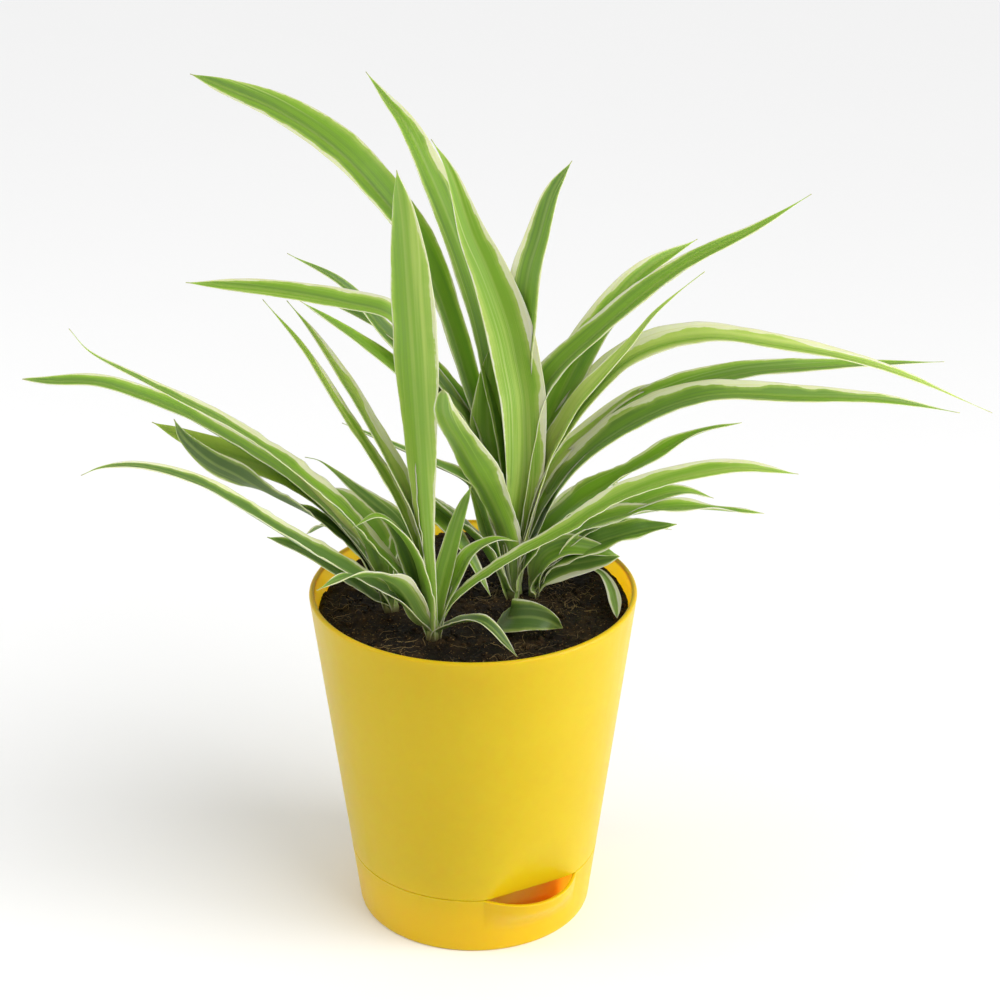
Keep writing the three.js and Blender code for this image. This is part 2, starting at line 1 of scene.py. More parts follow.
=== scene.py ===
"""Potted spider plant: striped arching leaves in a yellow two-piece self-watering pot.

The sizes in the shape functions are millimetres, in the part's own frame: Z is up, the origin
is the centre of the pot's underside, and the camera stands on the -Y side. MM turns them into
metres where a mesh is made.
"""

import math

import bpy
import numpy as np
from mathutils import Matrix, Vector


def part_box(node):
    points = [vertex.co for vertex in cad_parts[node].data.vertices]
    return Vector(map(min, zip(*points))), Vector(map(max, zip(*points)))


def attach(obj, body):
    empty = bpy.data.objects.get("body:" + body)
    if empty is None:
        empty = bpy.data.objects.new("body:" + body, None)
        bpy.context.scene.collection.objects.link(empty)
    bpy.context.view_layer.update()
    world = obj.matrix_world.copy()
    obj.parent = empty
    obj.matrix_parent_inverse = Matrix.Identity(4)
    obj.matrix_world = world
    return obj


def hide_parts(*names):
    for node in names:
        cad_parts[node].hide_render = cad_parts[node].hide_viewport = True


bl_info = {
    "name": "Potted spider plant",
    "version": (1, 0, 0),
    "blender": (4, 5, 0),
    "location": "View3D > Sidebar > Plant",
    "description": "Leaves, soil, a two-piece pot and a plain studio for a potted spider plant",
    "category": "Add Mesh",
}

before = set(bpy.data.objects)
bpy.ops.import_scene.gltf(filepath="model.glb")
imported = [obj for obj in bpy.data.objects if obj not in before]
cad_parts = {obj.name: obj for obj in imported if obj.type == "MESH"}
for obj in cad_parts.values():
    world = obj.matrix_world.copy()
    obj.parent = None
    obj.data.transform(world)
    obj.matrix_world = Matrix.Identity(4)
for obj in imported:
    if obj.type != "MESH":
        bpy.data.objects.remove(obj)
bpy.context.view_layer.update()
MM = 0.001

# Pot, in millimetres
BASE_RADIUS = 43.6
POT_WALL = 2.0
WALL_FOOT = 30.0
STEP_TOP = 26.0
STEP_INSET = 4.4
FLOOR_TOP = 20.0
FLOOR_BOTTOM = 18.0
FLOOR_RING = 20.0
FLOOR_FILLET = 0.8
SKIRT_BOTTOM = 15.0
SKIRT_BEVEL = 0.6
FOOT_EDGE = 0.35
RIM_ROUNDING = 1.0
RIM_EDGE = 0.3
RIM_FADE = 1.2
SEAM_HEIGHT = 24.0
SEAM_GAP = 0.3
FIT_GAP = 0.35
BEAD_HEIGHT = 19.4
BEAD_HALF = 0.9
BEAD_DEPTH = 0.45
TRAY_WALL = 1.8
TRAY_FLOOR = 2.2
TRAY_EDGE = 0.45
TRAY_INNER_EDGE = 0.7
TRAY_FOOT_EDGE = 1.0
TRAY_FILLET = 1.5

# Filling mouth: a flat cuts the rows that face it, and a row whose flat is UNCUT stays round
MOUTH_ANGLE = 28.5
FINE_ARC = 34.0
MOUTH_FLAT = 43.2
MOUTH_LEAN = 0.278
CREASE = 0.45
UNCUT = 500.0
LEAST_FACING = 0.05
CHUTE_FLAT = 36.0
CHUTE_HALF_WIDTH = 22.0
BAFFLE_BOTTOM = 8.5
BAFFLE_HALF_ANGLE = 30.0
LIP_ANGLE = 30.0
LIP_REACH = 6.1
LIP_HALF_ANGLE = 25.0
LIP_START = 9.0
LIP_FULL = 20.0
LIP_DIP = 1.0

# Soil: each lump has its share, cell and seed, and each tuft its place and spread
SOIL_LEVEL = 121.0
SOIL_SINK = 0.3
SOIL_GAP = 0.3
SOIL_RISE = 1.8
RISE_TOWARDS = (0.85, 0.53)
RISE_START = 5.0
RISE_WIDTH = 57.0
SOIL_BANK = 3.5
BANK_START = 22.0
BANK_WIDTH = 24.0
SOIL_LUMPS = ((0.55, 7, 3), (0.45, 3, 5), (0.4, 1.3, 8))
MOUND_RISE = 0.6
MOUND_SPREAD = 60.0
RECESS_WALL = 2.1
SOIL_NECK_RADIUS = 41.6
SOIL_FOOT_RADIUS = 41.2
SOIL_UNDERSIDE_RADIUS = 40.4
CRUMB_REACH = 56.0
CRUMB_SIZE = 0.35
FIBRE_REACH = 55.5
FIBRE_LIFT = 0.12
FIBRE_TUFTS = (
    (36, 2, 5), (33, 12, 4), (-31, -31, 5), (7, 12, 4), (20, -38, 5), (2, -47, 5), (48, -30, 5),
    (-47, -6, 5), (0, 0, 24),
)

# Leaves and stems: the root points come before each midrib, and the shifts part the noise of
# the leaves and of their two sides
ROOT_POINTS = ((0.5, -8.0), (1.5, 3.0))
STALK_FOLD = 55.0
STALK_END = 0.15
LEAF_FOLD = 22.0
BLADE_ROW = 1.4
BLADE_LEAST_ROWS = 26
BLADE_COLUMNS = 16
LEAST_WIDTH = 0.35
DRAWN_TIP = 0.22
FLUTTER = 0.22
FLUTTER_LENGTH = 46.0
FLUTTER_TONES = (1, 2.3, 4.1)
RIPPLE_CELL = 3.4
WANDER = 0.045
WANDER_CELL = 17.0
LEAF_SHIFT = 7.31
THREAD_SHIFT = 3.7
SIDE_SHIFT = 40.0
SEED_SHIFT = 97.0
EDGE_THINNING = 0.55
FULL_THICKNESS_HALF_WIDTH = 1.2
STEM_DEPTH = 10.0
STEM_HEIGHT_SHARE = 0.7
STEM_RADIUS_SHARE = 0.78


def leaf(heading, width, midrib, **shape):
    """A leaf: its heading in degrees from +X, its widest width, and its midrib as points of
    [distance from the crown, height above the soil, shift to the left]. peak, base, rise, tip
    and point shape its width, fold and roll are in degrees, wave is [height, count, phase] and
    crinkle ripples the edges. margins are the cream shares of the half blade on its right and
    left, seen from the crown, and light is how lime its green is: partly the leaf's own tone and
    partly painted light and shade for how lit the leaf lies, with the green painted darker, as
    shade, below 0."""
    details = dict(
        peak=0.5, base=0.35, tip=0.7, rise=1.5, point=0.5, fold=LEAF_FOLD, roll=(0,),
        wave=(0, 0, 0), crinkle=0.1, margins=(0.15, 0.15), light=0.5,
    )
    details.update(shape)
    return dict(heading=heading, width=width, midrib=midrib, **details)


def shoot(x, y, radius, height, **leaves):
    """A shoot: the place, radius and height of its stem, and its leaves."""
    return dict(x=x, y=y, radius=radius, height=height, leaves=leaves)


FRONT_LEFT = shoot(
    -14, -25, 3.6, 10,
    upright_front=leaf(
        240, 18.6, [(3, 24), (6, 57), (9, 95), (12, 131), (15, 160), (19, 178)], peak=0.72, base=0.3,
        fold=16, rise=3, tip=0.75, margins=(0.05, 0.11), light=0.62),
    level_left=leaf(
        172, 15, [(3, 31), (5, 61), (6, 91), (8, 111), (13, 122), (29, 126), (55, 129), (84, 130)],
        tip=0.6, roll=(0, -5, -30), margins=(0.22, 0.04), crinkle=0.4, light=0.5),
    slanting_outer=leaf(
        174, 10, [(3, 23), (7, 40), (14, 58), (22, 72), (30, 85), (43, 108), (57, 126)], peak=0.45, tip=1,
        roll=(0, -6, -20), margins=(0.34, 0.16), light=0.75),
    slanting_inner=leaf(
        168, 12, [(2, 27), (5, 46), (11, 61), (17, 73), (28, 93), (41, 113), (50, 124)], peak=0.45, tip=1,
        roll=(0, -5, -25), margins=(0.5, 0.16), light=0.8),
    inner_right=leaf(
        60, 8, [(3.4, 14), (7, 22), (13, 32), (20, 42), (27, 49)], tip=0.6, roll=(0, 8, 5),
        margins=(0.05, 0.08), light=0.2),
    inner_small=leaf(40, 8, [(3, 9), (6, 15), (9, 20)], margins=(0.1, 0.1), light=0.1),
    long_left_upper=leaf(
        183, 13.5, [(4, 13), (10, 24), (17, 33), (29, 49), (39, 60), (67, 83), (99, 102), (115, 112),
        (121, 120)], peak=0.4, tip=1.15, roll=(0, -3, -14), margins=(0.36, 0.12), crinkle=0.4, light=0.3),
    long_left_lower=leaf(
        195, 14.5, [(6, 9), (12, 17), (21, 24), (42, 40), (67, 60), (79, 69), (93, 76), (104, 79),
        (114, 79), (120, 77)], peak=0.42, tip=0.95, roll=(-5, -5, -16), margins=(0.24, 0.2), crinkle=0.4,
        light=-0.15),
    kinked_left=leaf(
        214, 12, [(6, 10), (10, 19), (15, 26), (22, 31), (25, 32), (36, 34), (47, 32)], peak=0.4, tip=0.9,
        base=0.3, rise=3, wave=(0.8, 4, 0), roll=(0, 38, 36, 20, -25), margins=(0.08, 0.2), crinkle=0.6,
        light=0.0),
    curled_left=leaf(
        200, 13, [(2, 12), (3, 20), (6, 33), (12, 44), (20, 51), (29, 48)], peak=0.4, tip=0.9,
        margins=(0.1, 0.1), crinkle=0.4, light=0.35),
    long_right=leaf(
        2, 12, [(3, 7), (8, 16), (20, 26), (34, 35), (48, 43), (59, 51), (73, 58), (90, 63), (108, 65),
        (128, 62)], peak=0.62, base=0.3, rise=2, tip=0.8, roll=(8, 6, 30), margins=(0.07, 0.36),
        crinkle=0.4, light=0.6),
    thin_right=leaf(
        30, 9, [(4, 12), (9, 21), (15, 30), (25, 33), (35, 30)], margins=(0.16, 0.16), light=0.5),
    kinked_front=leaf(
        -34, 9, [(6, 7), (13, 11), (21, 13), (26, 11), (31, 7), (36, 3)], peak=0.4, margins=(0.14, 0.14),
        crinkle=0.4, light=-0.3),
    broad_left_back=leaf(
        150, 13, [(5, 18), (9, 31), (15, 42), (25, 48), (33, 52), (40, 56), (47, 59), (53, 59)],
        peak=0.42, tip=1.7, roll=(-18,), margins=(0.12, 0.1), crinkle=0.4, light=0.05),
)

BACK_LEFT = shoot(
    -30, -3, 3.6, 6,
    long_left=leaf(
        185, 13, [(4, 11), (7, 19), (16, 33), (25, 44), (38, 57), (54, 69), (72, 81), (86, 88), (100, 93),
        (118, 94), (126, 95)], tip=0.45, point=0.25, roll=(0, 0, -18), margins=(0.16, 0.14), light=0.32),
    pale_left=leaf(
        181, 15, [(4, 10), (8, 20), (18, 36), (32, 51), (43, 58), (63, 65), (83, 75)], peak=0.68, rise=2,
        tip=0.9, roll=(0, -5, -26, -42), margins=(0.03, 0.03), light=1.0),
    twisted_left=leaf(
        194, 10, [(3, 7), (7, 15), (12, 26), (16, 31), (23, 38), (31, 44), (40, 50), (47, 55), (54, 60),
        (63, 66), (72, 76), (75, 83)], peak=0.74, base=0.7, tip=0.8, fold=14,
        roll=(-5, -8, -18, 30, 84, 78), margins=(0.08, 0.1), crinkle=0.4, light=-0.35),
    low_left=leaf(
        198, 13, [(6, 6), (15, 15), (30, 28), (45, 36)], base=0.4, rise=2.5, roll=(0, -20, -20),
        margins=(0.12, 0.1), crinkle=0.4, light=0.08),
    back_inner=leaf(128, 15, [(4, 16), (15, 29), (35, 34), (54, 27)], light=0.35),
    back_outer=leaf(138, 13, [(5, 14), (17, 24), (32, 25), (44, 17)], light=0.35),
    over_right=leaf(
        4, 12, [(1, 18), (3, 28), (7, 36), (12, 39), (17, 37.5), (22.5, 31), (29, 20.5), (36.5, 4.5)],
        base=0.4, roll=(0, 22, 30), margins=(0.16, 0.2), crinkle=0.4, light=0.25),
)

MAIN = shoot(
    15, 8, 3.7, 13,
    arching_left=leaf(
        145, 19, [(3, 31), (18, 75), (31, 109), (43, 130), (55, 142), (77, 158), (104, 168), (133, 173),
        (147, 175)], peak=0.72, tip=0.72, base=0.28, rise=2.2, roll=(0, 0, -25), margins=(0.06, 0.24),
        light=0.42),
    tallest=leaf(
        130, 17.5, [(1, 31), (5, 65), (11, 85), (16, 102), (27, 124), (43, 147), (60, 166), (72, 173.5),
        (84, 181)], peak=0.6, tip=0.85, roll=(5, 3, -8), margins=(0.34, 0.06), light=0.35),
    broad_upright=leaf(
        136, 18.5, [(-3, 36), (-5, 53), (-5, 66), (-4, 80), (-1, 92), (3, 105), (13, 124), (21, 136),
        (32, 157), (41, 166)], peak=0.58, tip=1.05, base=0.3, roll=(0, -38, -42, -30),
        margins=(0.24, 0.06), light=0.6),
    upright_right=leaf(
        60, 13.5, [(1, 31), (2, 58), (3, 86), (5, 107), (9, 124), (16, 134), (26, 148), (41, 156)],
        peak=0.7, tip=0.8, margins=(0.05, 0.2), light=0.2),
    recurved_front=leaf(
        245, 15, [(2, 16), (5, 26), (17, 46), (41, 76), (57, 96), (57, 103)], peak=0.66, tip=0.4,
        point=0.12, roll=(0, 10, 10), wave=(0.7, 3, 1), margins=(0.12, 0.18), crinkle=0.5, light=0.32),
    pale_inner=leaf(
        150, 15.5, [(3, 23), (7, 46), (11, 65), (11, 80), (10, 97)], peak=0.6, tip=0.7,
        roll=(-20, -62, -60), margins=(0.04, 0.06), light=0.5),
    shaded_inner=leaf(
        168, 17, [(2, 14), (6, 30), (11, 44), (17, 57), (21, 65)], peak=0.5, tip=0.8, base=0.4,
        roll=(-20, -68, -65), margins=(0.04, 0.06), light=0.12),
    dark_left=leaf(
        165, 12, [(3, 23), (9, 46), (20, 69), (31, 84), (48, 100), (63, 116), (84, 126)], tip=0.9,
        roll=(-18,), margins=(0.08, 0.16), light=0.0),
    striped_upper=leaf(
        160, 14, [(4, 27), (11, 57), (25, 79), (46, 97), (65, 105), (82, 110)], margins=(0.1, 0.16),
        crinkle=0.4, light=0.3),
    striped_lower=leaf(
        172, 15.5, [(4, 27), (13, 54), (27, 73), (42, 87), (56, 98), (77, 112)], peak=0.62, tip=0.8,
        margins=(0.08, 0.38), crinkle=0.4, light=0.5),
    thin_left=leaf(190, 11, [(3, 7), (9, 28), (16, 47), (31, 57), (49, 67), (62, 74)], tip=0.9, light=0.1),
    low_left=leaf(200, 14, [(3, 5), (13, 25), (26, 39), (40, 53), (50, 68)], crinkle=0.4, light=0.0),
    rising_right=leaf(
        18, 15, [(1, 23), (6, 62), (11, 83), (32, 102), (62, 122), (92, 134), (112, 144)], peak=0.45,
        tip=1.05, roll=(4, 8, 30), margins=(0.16, 0.14), light=0.42),
    rising_behind=leaf(
        35, 17, [(3, 23), (9, 57), (20, 76), (36, 98), (56, 115), (82, 123)], tip=0.8, roll=(0, 18, 28),
        margins=(0.12, 0.28), light=0.6),
    arching_right=leaf(
        9, 17, [(2, 19), (8, 47), (22, 73), (42, 93), (67, 99), (97, 94), (135, 83), (179, 62)],
        peak=0.38, tip=1.3, roll=(8, 14, 25), margins=(0.14, 0.42), light=0.78),
    pointed_right=leaf(
        -6, 12, [(2.5, 15), (7, 40), (11, 56), (16, 67), (23, 80), (32, 91), (41, 102), (49, 113),
        (58, 122), (66, 129)], peak=0.33, tip=1.45, roll=(0, 35, 40), margins=(0.06, 0.1), light=0.85),
    thread_right=leaf(
        24, 7, [(2, 17), (12, 47), (34, 66), (50, 74), (67, 74)], roll=(0, 25, 30), margins=(0.35, 0.6),
        light=0.7),
    level_right=leaf(
        17, 15, [(2, 15), (12, 40), (33, 63), (57, 74), (86, 79), (118, 78), (169, 74)], tip=1.1,
        roll=(8, 11, 14), margins=(0.26, 0.08), light=0.42),
    sweeping_right=leaf(
        3, 17, [(2, 13), (8, 27), (18, 49), (38, 67), (67, 79), (103, 78), (132, 76), (161, 70)],
        peak=0.42, tip=1.1, roll=(8, 13, 35), margins=(0.08, 0.34), light=0.25),
    wavy_right=leaf(
        -4, 15, [(2, 11), (9, 24), (22, 39), (35, 48), (45, 55), (66, 68), (81, 72)], peak=0.35, tip=0.8,
        roll=(15, 14, 8), wave=(1, 4, 0), margins=(0.08, 0.16), crinkle=0.4, light=0.4),
    soil_leaf=leaf(
        -48, 14, [(9, 3, -7.7), (12.5, 3.5, -14), (18.4, 5.5, -20.3), (23, 7.5, -20.5),
        (28.9, 8.5, -17.2), (33.5, 7.5, -13.8), (36, 4, -9.2)], base=0.1, peak=0.66, tip=0.7, rise=11,
        roll=(0, 10, 40, 52, 46), margins=(0.04, 0.1), crinkle=0.3, light=-0.25),
    back_right=leaf(84, 15, [(3, 25), (10, 50), (30, 68), (60, 68), (85, 48)], light=0.4),
    back_left=leaf(112, 15, [(3, 25), (12, 46), (34, 60), (62, 56), (85, 36)], light=0.35),
)

SMALL_RIGHT = shoot(
    22, 8, 2.3, 5,
    wavy_long=leaf(
        10, 12, [(10, 19), (21, 28), (40, 32), (59, 32), (87, 27)], wave=(1.2, 4, 1),
        margins=(0.24, 0.34), crinkle=0.4, light=0.45),
    broad_short=leaf(
        6, 15, [(8, 15), (19, 20), (36, 25), (53, 27)], base=0.2, rise=2.5, roll=(0, 20, 20),
        wave=(1, 5, 0), margins=(0.16, 0.08), crinkle=0.4, light=0.1),
    arched_short=leaf(
        0, 11, [(1, 8), (2, 14), (5, 18), (12, 21), (21, 20), (31, 17)], base=0.3, rise=2,
        roll=(10, 42, 44), margins=(0.04, 0.12), light=0.3),
    drooping=leaf(
        -35, 5, [(-0.2, 5, 4.8), (3.8, 6.5, 12.1), (8.1, 7.5, 17.8), (12.5, 7.5, 19.9), (17.3, 7, 19.3),
        (21.8, 6.5, 16.5), (27.3, 6, 11.3), (32.4, 5, 5.4), (38.7, 3.8, -3)], base=0.3, peak=0.84, rise=5,
        roll=(0, 0, 15), margins=(0.25, 0.4), crinkle=0.2, light=0.15),
    blunt=leaf(
        20, 12, [(7, 15), (14, 21), (34, 30), (58, 34), (72, 29)], tip=0.7, peak=0.6, roll=(8,),
        margins=(0.3, 0.24), crinkle=0.4, light=0.5),
    cupped=leaf(
        6, 16, [(3, 8), (9, 12), (21, 14), (32, 15)], base=0.2, tip=0.6, rise=3, roll=(0, 32, 32),
        margins=(0.26, 0.06), crinkle=0.4, light=0.05),
    small_inner=leaf(-10, 7, [(0, 4), (3, 10), (11, 17)], light=0.35),
    back_low=leaf(38, 11, [(5, 10), (24, 18), (46, 17), (68, 8)], base=0.25, light=0.3),
    back_high=leaf(58, 13, [(5, 14), (22, 26), (46, 28), (72, 18)], base=0.25, light=0.3),
)

PLANTS = dict(
    plant_front_left=FRONT_LEFT,
    plant_back_left=BACK_LEFT,
    plant_main=MAIN,
    plant_small_right=SMALL_RIGHT,
)


# Settings that a user would change


class PotSettings(bpy.types.PropertyGroup):
    """Sizes and finish of the two pot pieces."""

    height: bpy.props.FloatProperty(
        name="Height", description="Height of the rim above the underside",
        default=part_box("pot_shell")[1][2], unit="LENGTH")
    rim_radius: bpy.props.FloatProperty(
        name="Rim radius", description="Outer radius at the rim",
        default=0.06, unit="LENGTH")
    plastic: bpy.props.FloatVectorProperty(
        name="Plastic", description="Colour of the moulded plastic",
        default=(0.585, 0.425, 0.004), size=3, min=0, max=1, subtype="COLOR")
    roughness: bpy.props.FloatProperty(
        name="Roughness", description="Roughness of the moulded surface", default=0.34, min=0, max=1)


class LeafSettings(bpy.types.PropertyGroup):
    """Thickness and colours of the leaf blades."""

    thickness: bpy.props.FloatProperty(
        name="Thickness", description="Blade thickness at the midrib",
        default=0.0006, unit="LENGTH")
    dark: bpy.props.FloatVectorProperty(
        name="Dark green", description="Deepest green of the blades",
        default=(0.115, 0.215, 0.034), size=3, min=0, max=1, subtype="COLOR")
    green: bpy.props.FloatVectorProperty(
        name="Green", description="Usual green of the blades",
        default=(0.205, 0.365, 0.022), size=3, min=0, max=1, subtype="COLOR")
    lime: bpy.props.FloatVectorProperty(
        name="Lime", description="Lightest green, next to the margins",
        default=(0.45, 0.54, 0.12), size=3, min=0, max=1, subtype="COLOR")
    cream: bpy.props.FloatVectorProperty(
        name="Cream", description="Colour of the striped margins",
        default=(0.61, 0.62, 0.36), size=3, min=0, max=1, subtype="COLOR")


class SoilSettings(bpy.types.PropertyGroup):
    """Crumbs and fibres of the potting soil."""

    crumbs: bpy.props.IntProperty(
        name="Crumbs", description="How many loose crumbs lie on the soil", default=1500, min=0)
    fibres: bpy.props.IntProperty(
        name="Fibres", description="How many root and coir fibres show", default=210, min=0)
    relief: bpy.props.FloatProperty(
        name="Relief", description="Height of the lumps in the surface",
        default=0.0012, unit="LENGTH")
    dark: bpy.props.FloatVectorProperty(
        name="Soil", description="Colour of the moist soil",
        default=(0.0065, 0.0036, 0.0013), size=3, min=0, max=1, subtype="COLOR")


class StudioSettings(bpy.types.PropertyGroup):
    """Camera and lights."""

    elevation: bpy.props.FloatProperty(
        name="Elevation", description="How far the camera looks down",
        default=math.radians(24.2), subtype="ANGLE", unit="ROTATION")
    distance: bpy.props.FloatProperty(
        name="Distance", description="From the camera to the point it looks at",
        default=0.895, unit="LENGTH")
    target: bpy.props.FloatVectorProperty(
        name="Target", description="The point that the camera looks at",
        default=(0.0098, 0.0, 0.1639), size=3, subtype="XYZ", unit="LENGTH")
    lens: bpy.props.FloatProperty(
        name="Lens", description="Focal length in millimetres on a 36 mm sensor", default=89.6)
    key_strength: bpy.props.FloatProperty(
        name="Key light", description="Strength of the broad light at the front right", default=1.65)
    key_spread: bpy.props.FloatProperty(
        name="Key spread", description="How wide the key light looks from the plant",
        default=math.radians(50), subtype="ANGLE", unit="ROTATION")
    panel_power: bpy.props.FloatProperty(
        name="Side panels", description="Power of the upright panel on the right", default=2.2)
    sky: bpy.props.FloatProperty(
        name="Sky", description="Strength of the even light from all round", default=0.56)


# Numbers


def eased(x):
    """0 below 0, 1 above 1, and 3x^2 - 2x^3 between."""
    x = np.clip(x, 0.0, 1.0)
    return x * x * (3 - 2 * x)


def soft_least(a, b, radius):
    """The lesser of two lengths, with the crease between them rounded: -k ln(e^-a/k + e^-b/k)."""
    return -radius * np.logaddexp(-a / radius, -b / radius)


def value_noise(x, y, cell, seed):
    """Random heights from -1 to 1 on a square lattice of the given cell, eased between points."""
    side = 64
    lattice = np.random.default_rng(seed).uniform(-1, 1, (side, side))
    px, py = x / cell, y / cell
    ix, iy = np.floor(px).astype(int), np.floor(py).astype(int)
    fx, fy = eased(px - ix), eased(py - iy)

    def row(j):
        return lattice[ix % side, j % side] * (1 - fx) + lattice[(ix + 1) % side, j % side] * fx

    return row(iy) * (1 - fy) + row(iy + 1) * fy


def rounded_path(points, count):
    """Centripetal Catmull-Rom curve through the points, in count equal steps of arc length.
    The end tangents come from the end points reflected. Gives the points and the length."""
    knots = np.vstack([2 * points[0] - points[1], points, 2 * points[-1] - points[-2]])
    before, start, end, after = knots[:-3], knots[1:-2], knots[2:-1], knots[3:]

    def spacing(a, b):
        return np.sqrt(np.linalg.norm(b - a, axis=1))[:, None]

    d0, d1, d2 = spacing(before, start), spacing(start, end), spacing(end, after)
    leave = ((start - before) / d0 - (end - before) / (d0 + d1) + (end - start) / d1) * d1
    arrive = ((end - start) / d1 - (after - start) / (d1 + d2) + (after - end) / d2) * d1
    square = -3 * start + 3 * end - 2 * leave - arrive
    cube = 2 * start - 2 * end + leave + arrive
    s = np.linspace(0, 1, 41)[:-1][None, :, None]
    curve = start[:, None] + leave[:, None] * s + square[:, None] * s**2 + cube[:, None] * s**3
    curve = np.vstack([curve.reshape(-1, 3), points[-1:]])
    travelled = np.concatenate([[0], np.cumsum(np.linalg.norm(np.diff(curve, axis=0), axis=1))])
    places = np.linspace(0, travelled[-1], count + 1)
    even = np.stack([np.interp(places, travelled, curve[:, k]) for k in range(3)], axis=1)
    return even, travelled[-1]


def blend(t, values):
    """Values spaced evenly from t = 0 to 1, with an eased step from each to the next."""
    values = np.atleast_1d(np.asarray(values, float))
    if len(values) == 1:
        return np.full_like(t, values[0])
    place = t * (len(values) - 1)
    step = np.clip(np.floor(place).astype(int), 0, len(values) - 2)
    share = eased(place - step)
    return values[step] * (1 - share) + values[step + 1] * share


# Meshes


def ring_faces(rings, points):
    """Quads of a tube of closed rings, each with the same number of points."""
    first = np.arange(rings - 1)[:, None] * points
    around = np.arange(points)
    near, side = first + around, first + (around + 1) % points
    return np.stack([near, side, side + points, near + points], axis=-1).reshape(-1, 4)


def closed_tube(rings, points):
    """The quads of a tube, and a fan of triangles over each end. The middles of the two fans
    are the two vertices that follow the rings."""
    around = np.arange(points)
    ahead = (around + 1) % points
    middle = np.full(points, rings * points)
    top = (rings - 1) * points
    return [
        ring_faces(rings, points),
        np.stack([middle, ahead, around], axis=1),
        np.stack([middle + 1, top + around, top + ahead], axis=1),
    ]


def mesh_piece(name, slot_name, material, vertices, faces, attributes=None):
    """Puts millimetre vertices into a smooth mesh object at the origin. faces is a list of
    arrays of vertex numbers, each with a row for each face."""
    sides = []
    for group in faces:
        sides += group.tolist()
    mesh = bpy.data.meshes.new(name)
    mesh.from_pydata((vertices * MM).tolist(), [], sides)
    for label, values in (attributes or {}).items():
        layer = mesh.attributes.new(label, "FLOAT_VECTOR", "POINT")
        layer.data.foreach_set("vector", np.ascontiguousarray(values, np.float32).ravel())
    mesh.polygons.foreach_set("use_smooth", np.ones(len(mesh.polygons), bool))
    mesh.materials.append(material)
    mesh.validate()
    piece = bpy.data.objects.new(name, mesh)
    bpy.context.scene.collection.objects.link(piece)
    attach(piece, "root")
    return piece


# Pot shapes


def cone_radius(z):
    """Outer radius of the pot's straight flare at a height."""
    pot = bpy.context.scene.pot_settings
    rim, height = pot.rim_radius / MM, pot.height / MM
    return BASE_RADIUS + (rim - BASE_RADIUS) * z / height


def pot_angles():
    """Degrees from -Y towards +X, in half-degree steps near the mouth and 2 degree steps beyond."""
    near = np.arange(-FINE_ARC, FINE_ARC, 0.5)
    far = np.arange(FINE_ARC, 360 - FINE_ARC, 2.0)
    return MOUTH_ANGLE + np.concatenate([near, far])


def degrees_from(middle, angles):
    """How far angles lie from a middle one, either way round."""
    return np.abs((angles - middle + 180) % 360 - 180)


def corner(radius_at, z_at, size, first, last, count=6):
    """A rounded corner of a profile: an arc about a centre, from one angle to another."""
    angles = np.radians(np.linspace(first, last, count))
    return [(radius_at + size * math.cos(a), z_at + size * math.sin(a)) for a in angles]


def revolved(profile, bent, inner):
    """A closed surface from [radius, height] rows about Z. bent(rows, angles) takes each row off
    its circle. The first and last rows lie on the axis and become single points. inner holds 1
    for each row of the piece's inside, and 0 for the outside."""
    angles = pot_angles()
    profile = np.array(profile, float)
    radii, heights = bent(profile[1:-1], angles)
    turn = np.radians(angles)
    grid = np.stack([radii * np.sin(turn), -radii * np.cos(turn), heights], axis=-1)
    poles = np.stack([np.zeros(2), np.zeros(2), profile[[0, -1], 1]], axis=1)
    vertices = np.vstack([grid.reshape(-1, 3), poles])
    inside = np.concatenate([np.repeat(inner[1:-1], len(angles)), inner[[0, -1]]])
    mouth_turn = math.radians(MOUTH_ANGLE)
    across = vertices @ np.array([math.cos(mouth_turn), math.sin(mouth_turn), 0.0])
    height = bpy.context.scene.pot_settings.height / MM
    place = np.stack([inside, vertices[:, 2] / height, across / CHUTE_HALF_WIDTH], axis=1)
    return vertices, closed_tube(len(profile) - 2, len(angles)), dict(mould_place=place)


def spigot_radius(z):
    """Outer radius of the skirt that plugs into the tray."""
    return cone_radius(z) - TRAY_WALL - FIT_GAP


